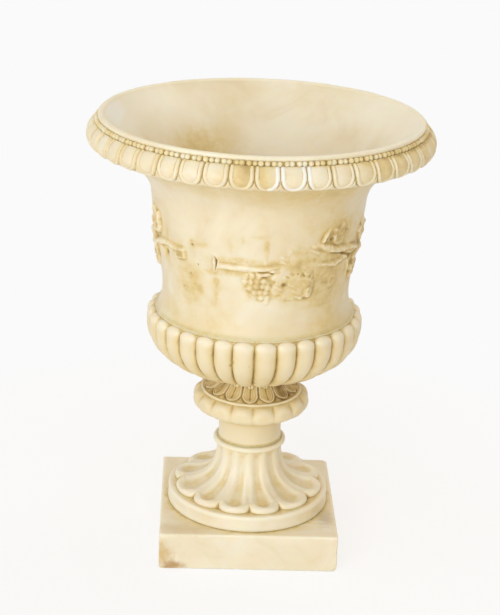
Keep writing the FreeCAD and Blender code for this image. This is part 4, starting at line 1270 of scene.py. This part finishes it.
# Stains on the plinth: where, half-size each way, how cloudy their edge, how strong, and their colour; the
# last one is painted shade beside the foot's disc, on the right
PLINTH_STAINS_AND_SHADE = (
    ((-0.0585, -0.060, 0.0115), (0.0105, 0.02, 0.0125), 1.1, 0.68, (208, 174, 92)),
    ((-0.0515, -0.060, 0.0026), (0.0125, 0.02, 0.0048), 1.1, 0.78, (178, 132, 44)),
    ((-0.044, -0.052, 0.026), (0.026, 0.012, 0.003), 0.9, 0.42, (216, 188, 134)),
    ((0.053, -0.033, 0.026), (0.009, 0.016, 0.003), 0.9, 0.6, (188, 170, 138)),
)


def colour(red, green, blue):
    """A display colour from 0 to 255 as the light it stands for."""
    shares = (red / 255, green / 255, blue / 255)
    return tuple(s / 12.92 if s <= 0.04045 else ((s + 0.055) / 1.055) ** 2.4 for s in shares) + (1.0,)


# The white behind the urn, and the studio's light
BACKGROUND = colour(250, 250, 250)
WORLD_STRENGTH = 0.85
BRIGHT_SIDE = (-0.5, -0.75, 0.15)
BRIGHT_TINT = (0.985, 0.985, 0.965, 1.0)
DIM_TINT = (0.575, 0.446, 0.247, 1.0)
# Lamps: place, target, size, power and tint
KEY_LAMP = ((-0.55, -1.35, 0.5), (0.0, 0.0, 0.15), 0.9, 6.9, (0.99, 1.0, 0.99))
MOUTH_LAMP = ((0.3, 0.4, 1.05), (0.0, -0.03, 0.29), 0.35, 1.35, (0.96, 0.98, 1.0))
CARD_REACH = 30.0


def alabaster_material():
    """Cream alabaster: clouds and streaks, olive-brown dirt and painted shade, paler wear and painted
    highlight, and a rust stain.
    """
    shader = Shader("alabaster")
    clouds = shader.ramp(shader.noise(13.0, 3.0, 0.55, 0.7), 0.36, 0.66)
    patches = shader.ramp(shader.noise(30.0, 3.0, 0.6, 0.9, 3.1), 0.45, 0.72)
    streaks = shader.ramp(shader.noise(20.0, 5.0, 0.62, 0.9, 7.7), 0.5, 0.72)
    grain = shader.noise(420.0, 2.0, 0.6)
    level = shader.add("ShaderNodeSeparateXYZ", Vector=shader.place()).outputs["Z"]
    base = shader.mix(clouds, colour(247, 239, 219), colour(238, 225, 196))
    base = shader.tinted(base, patches, 0.4, colour(250, 244, 228))
    base = shader.tinted(base, shader.ramp(level, 0.0385, 0.0245), 0.3, colour(250, 242, 224))
    base = shader.tinted(base, streaks, 0.34, colour(219, 198, 152))
    base = shader.tinted(base, grain, 0.05, colour(214, 194, 150))
    base = shader.mix(shader.yellower_by_level(), base, colour(230, 210, 156))
    # Dirt and painted shade kept on the points, with the painted shade round the foot.
    dirt_and_shade = shader.math("ADD", shader.point_value("dirt_and_shade"), shader.shade_round_foot())
    broken = shader.product(shader.ramp(shader.noise(190.0, 4.0, 0.65, 0.0, 1.7), 0.25, 0.75), 0.55)
    dirt_and_shade_amount = shader.product(dirt_and_shade, shader.math("ADD", 0.6, broken))
    base = shader.mix(shader.ramp(dirt_and_shade_amount, 0.0, 0.3), base, colour(230, 209, 154))
    base = shader.mix(shader.ramp(dirt_and_shade_amount, 0.2, 0.62), base, colour(199, 172, 114))
    base = shader.mix(shader.ramp(dirt_and_shade_amount, 0.5, 1.15), base, colour(138, 115, 68))
    # Paler where worn, and where a highlight is painted.
    wear_and_highlight = shader.point_value("wear_and_highlight")
    base = shader.tinted(base, shader.ramp(wear_and_highlight, 0.08, 0.7), 0.62, colour(249, 242, 224))
    base = shader.mix(shader.ramp(wear_and_highlight, 0.88, 0.98), base, colour(250, 246, 238))
    for place, reach, edge, strength, tint in PLINTH_STAINS_AND_SHADE:
        base = shader.tinted(base, shader.blotch(place, reach, edge), strength, colour(*tint))
    scuffed = shader.blotch((0.046, -0.045, 0.026), (0.02, 0.016, 0.003), 0.6)
    base = shader.mix(shader.product(scuffed, shader.scratches()), base, colour(246, 242, 234))
    rough = shader.math("ADD", 0.32, shader.product(shader.noise(60.0, 3.0, 0.6, 0.0, 5.0), 0.14))
    rough = shader.math("ADD", rough, shader.product(dirt_and_shade_amount, 0.3))
    shader.set(Base_Color=base, Roughness=rough, IOR=1.52, Normal=shader.bump(grain, 0.1, 0.0004))
    shader.set(Subsurface_Weight=0.6, Subsurface_Radius=(1.0, 0.74, 0.46), Subsurface_Scale=0.0028)
    return shader.material


def iron_material():
    """Browned iron with specks of rust."""
    shader = Shader("browned_iron")
    rust = shader.ramp(shader.noise(420.0, 5.0, 0.65), 0.45, 0.7)
    speck = shader.noise(1900.0, 3.0, 0.6)
    base = shader.mix(rust, colour(74, 66, 60), colour(112, 72, 46))
    base = shader.tinted(base, speck, 0.3, colour(44, 38, 34))
    rough = shader.math("ADD", 0.38, shader.product(rust, 0.35))
    metal = shader.math("SUBTRACT", 0.9, shader.product(rust, 0.7))
    shader.set(Base_Color=base, Roughness=rough, Metallic=metal, Normal=shader.bump(speck, 0.25, 0.0003))
    return shader.material


def leather_material():
    """Flattened sole leather, darker at its pores."""
    shader = Shader("sole_leather")
    tone = shader.noise(120.0, 4.0, 0.6)
    pores = shader.noise(1500.0, 3.0, 0.6)
    base = shader.mix(tone, colour(98, 62, 36), colour(146, 100, 62))
    base = shader.mix(shader.ramp(pores, 0.55, 0.75), base, colour(62, 38, 22))
    shader.set(Base_Color=base, Roughness=0.7, Normal=shader.bump(pores, 0.35, 0.0003))
    return shader.material


def floor_material():
    """White card that keeps a pale shadow and, seen from afar, runs into the white behind it."""
    shader = Shader("white_card")
    shader.tree.nodes.remove(shader.surface)
    card = shader.add("ShaderNodeBsdfDiffuse", Color=(0.9, 0.88, 0.83, 1.0))
    tone = shader.add("ShaderNodeBsdfDiffuse", Color=(0.31, 0.313, 0.33, 1.0))
    glow = shader.add("ShaderNodeEmission", Color=(1.0, 1.0, 1.0, 1.0), Strength=0.712)
    both = shader.add("ShaderNodeAddShader")
    shader.feed(both, 0, tone.outputs[0])
    shader.feed(both, 1, glow.outputs[0])
    clear = shader.add("ShaderNodeEmission", Color=BACKGROUND, Strength=1.0)
    from_foot = shader.vector("LENGTH", shader.place()).outputs["Value"]
    seen = shader.either(shader.ramp(from_foot, 0.14, 0.42), both.outputs[0], clear.outputs[0])
    whole = shader.either(shader.seen_directly(), card.outputs[0], seen)
    shader.feed(shader.tree.nodes["Material Output"], "Surface", whole)
    return shader.material


def dress(piece, material, slot, *nodes):
    """Give a piece its material, make it ride with the urn, and let it stand for its CAD nodes; slot is not
    used.
    """
    piece.data.materials.append(material)
    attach(piece, "root")
    if nodes:
        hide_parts(*nodes)


def coat(name, material):
    """Give the solid of a node its material."""
    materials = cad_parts[name].data.materials
    materials.clear()
    materials.append(material)


def add_camera():
    """The photograph's view: long lens, about a metre off, looking down on the front of the plinth."""
    camera_data = bpy.data.cameras.new("camera")
    camera_data.sensor_fit = "VERTICAL"
    camera_data.sensor_height = 36.0
    camera_data.lens = 96.56
    camera = bpy.data.objects.new("camera", camera_data)
    bpy.context.scene.collection.objects.link(camera)
    heading = math.radians(2.17)
    pitch = math.radians(20.43)
    roll = math.radians(2.26)
    camera.location = (-0.0424, -1.0385, 0.5536)
    look = Matrix.Rotation(-heading, 4, "Z") @ Matrix.Rotation(math.pi / 2 - pitch, 4, "X")
    camera.matrix_world = Matrix.Translation(camera.location) @ look @ Matrix.Rotation(roll, 4, "Z")
    bpy.context.scene.camera = camera


def add_area_light(name, place, target, size, power, tint):
    """A soft square lamp aimed at a point."""
    lamp = bpy.data.lights.new(name, "AREA")
    lamp.size = size
    lamp.energy = power
    lamp.color = tint
    holder = bpy.data.objects.new(name, lamp)
    holder.location = place
    holder.rotation_euler = (Vector(target) - Vector(place)).to_track_quat("-Z", "Y").to_euler()
    bpy.context.scene.collection.objects.link(holder)


def add_room():
    """A room that is brighter at the front left, and white wherever it is seen."""
    world = bpy.data.worlds.new("studio")
    bpy.context.scene.world = world
    world.use_nodes = True
    room = Nodes(world.node_tree)
    room.tree.nodes.clear()
    way = room.add("ShaderNodeTexCoord").outputs["Generated"]
    lean = room.vector("DOT_PRODUCT", way, Vector(BRIGHT_SIDE).normalized()).outputs["Value"]
    share = room.add("ShaderNodeMapRange", Value=lean, **{"From Min": -0.65, "From Max": 0.8})
    tint = room.mix(share.outputs["Result"], DIM_TINT, BRIGHT_TINT)
    lit = room.add("ShaderNodeBackground", Color=tint, Strength=WORLD_STRENGTH)
    seen = room.add("ShaderNodeBackground", Color=BACKGROUND, Strength=1.0)
    mixed = room.either(room.seen_directly(), lit.outputs[0], seen.outputs[0])
    room.add("ShaderNodeOutputWorld", Surface=mixed)


def add_studio():
    """White card under the urn, the room, a large lamp at the front left and a small one over the mouth."""
    add_room()
    add_area_light("key_lamp", *KEY_LAMP)
    add_area_light("mouth_lamp", *MOUTH_LAMP)
    corners = [(CARD_REACH * x, CARD_REACH * y, 0.0) for x, y in ((-1, -1), (1, -1), (1, 1), (-1, 1))]
    mesh = bpy.data.meshes.new("card")
    mesh.from_pydata(corners, [], [(0, 1, 2, 3)])
    card = bpy.data.objects.new("card", mesh)
    bpy.context.scene.collection.objects.link(card)
    card.data.materials.append(floor_material())


alabaster = alabaster_material()
iron = iron_material()
leather = leather_material()
dress(build_plinth(), alabaster, "alabaster", "plinth")
dress(build_foot(), alabaster, "alabaster", "foot")
dress(build_collar(), alabaster, "alabaster", "collar")
dress(build_bowl(), alabaster, "alabaster", "bowl")
dress(build_bell(), alabaster, "alabaster", "bell", "rim")
dress(build_beads(), alabaster, "alabaster")
for name in ("tie_rod", "lower_nut", "upper_nut", "lower_washer", "upper_washer"):
    coat(name, iron)
for name in ("lower_leather_washer", "upper_leather_washer"):
    coat(name, leather)

add_camera()
add_studio()
bpy.context.scene.view_settings.view_transform = "Standard"
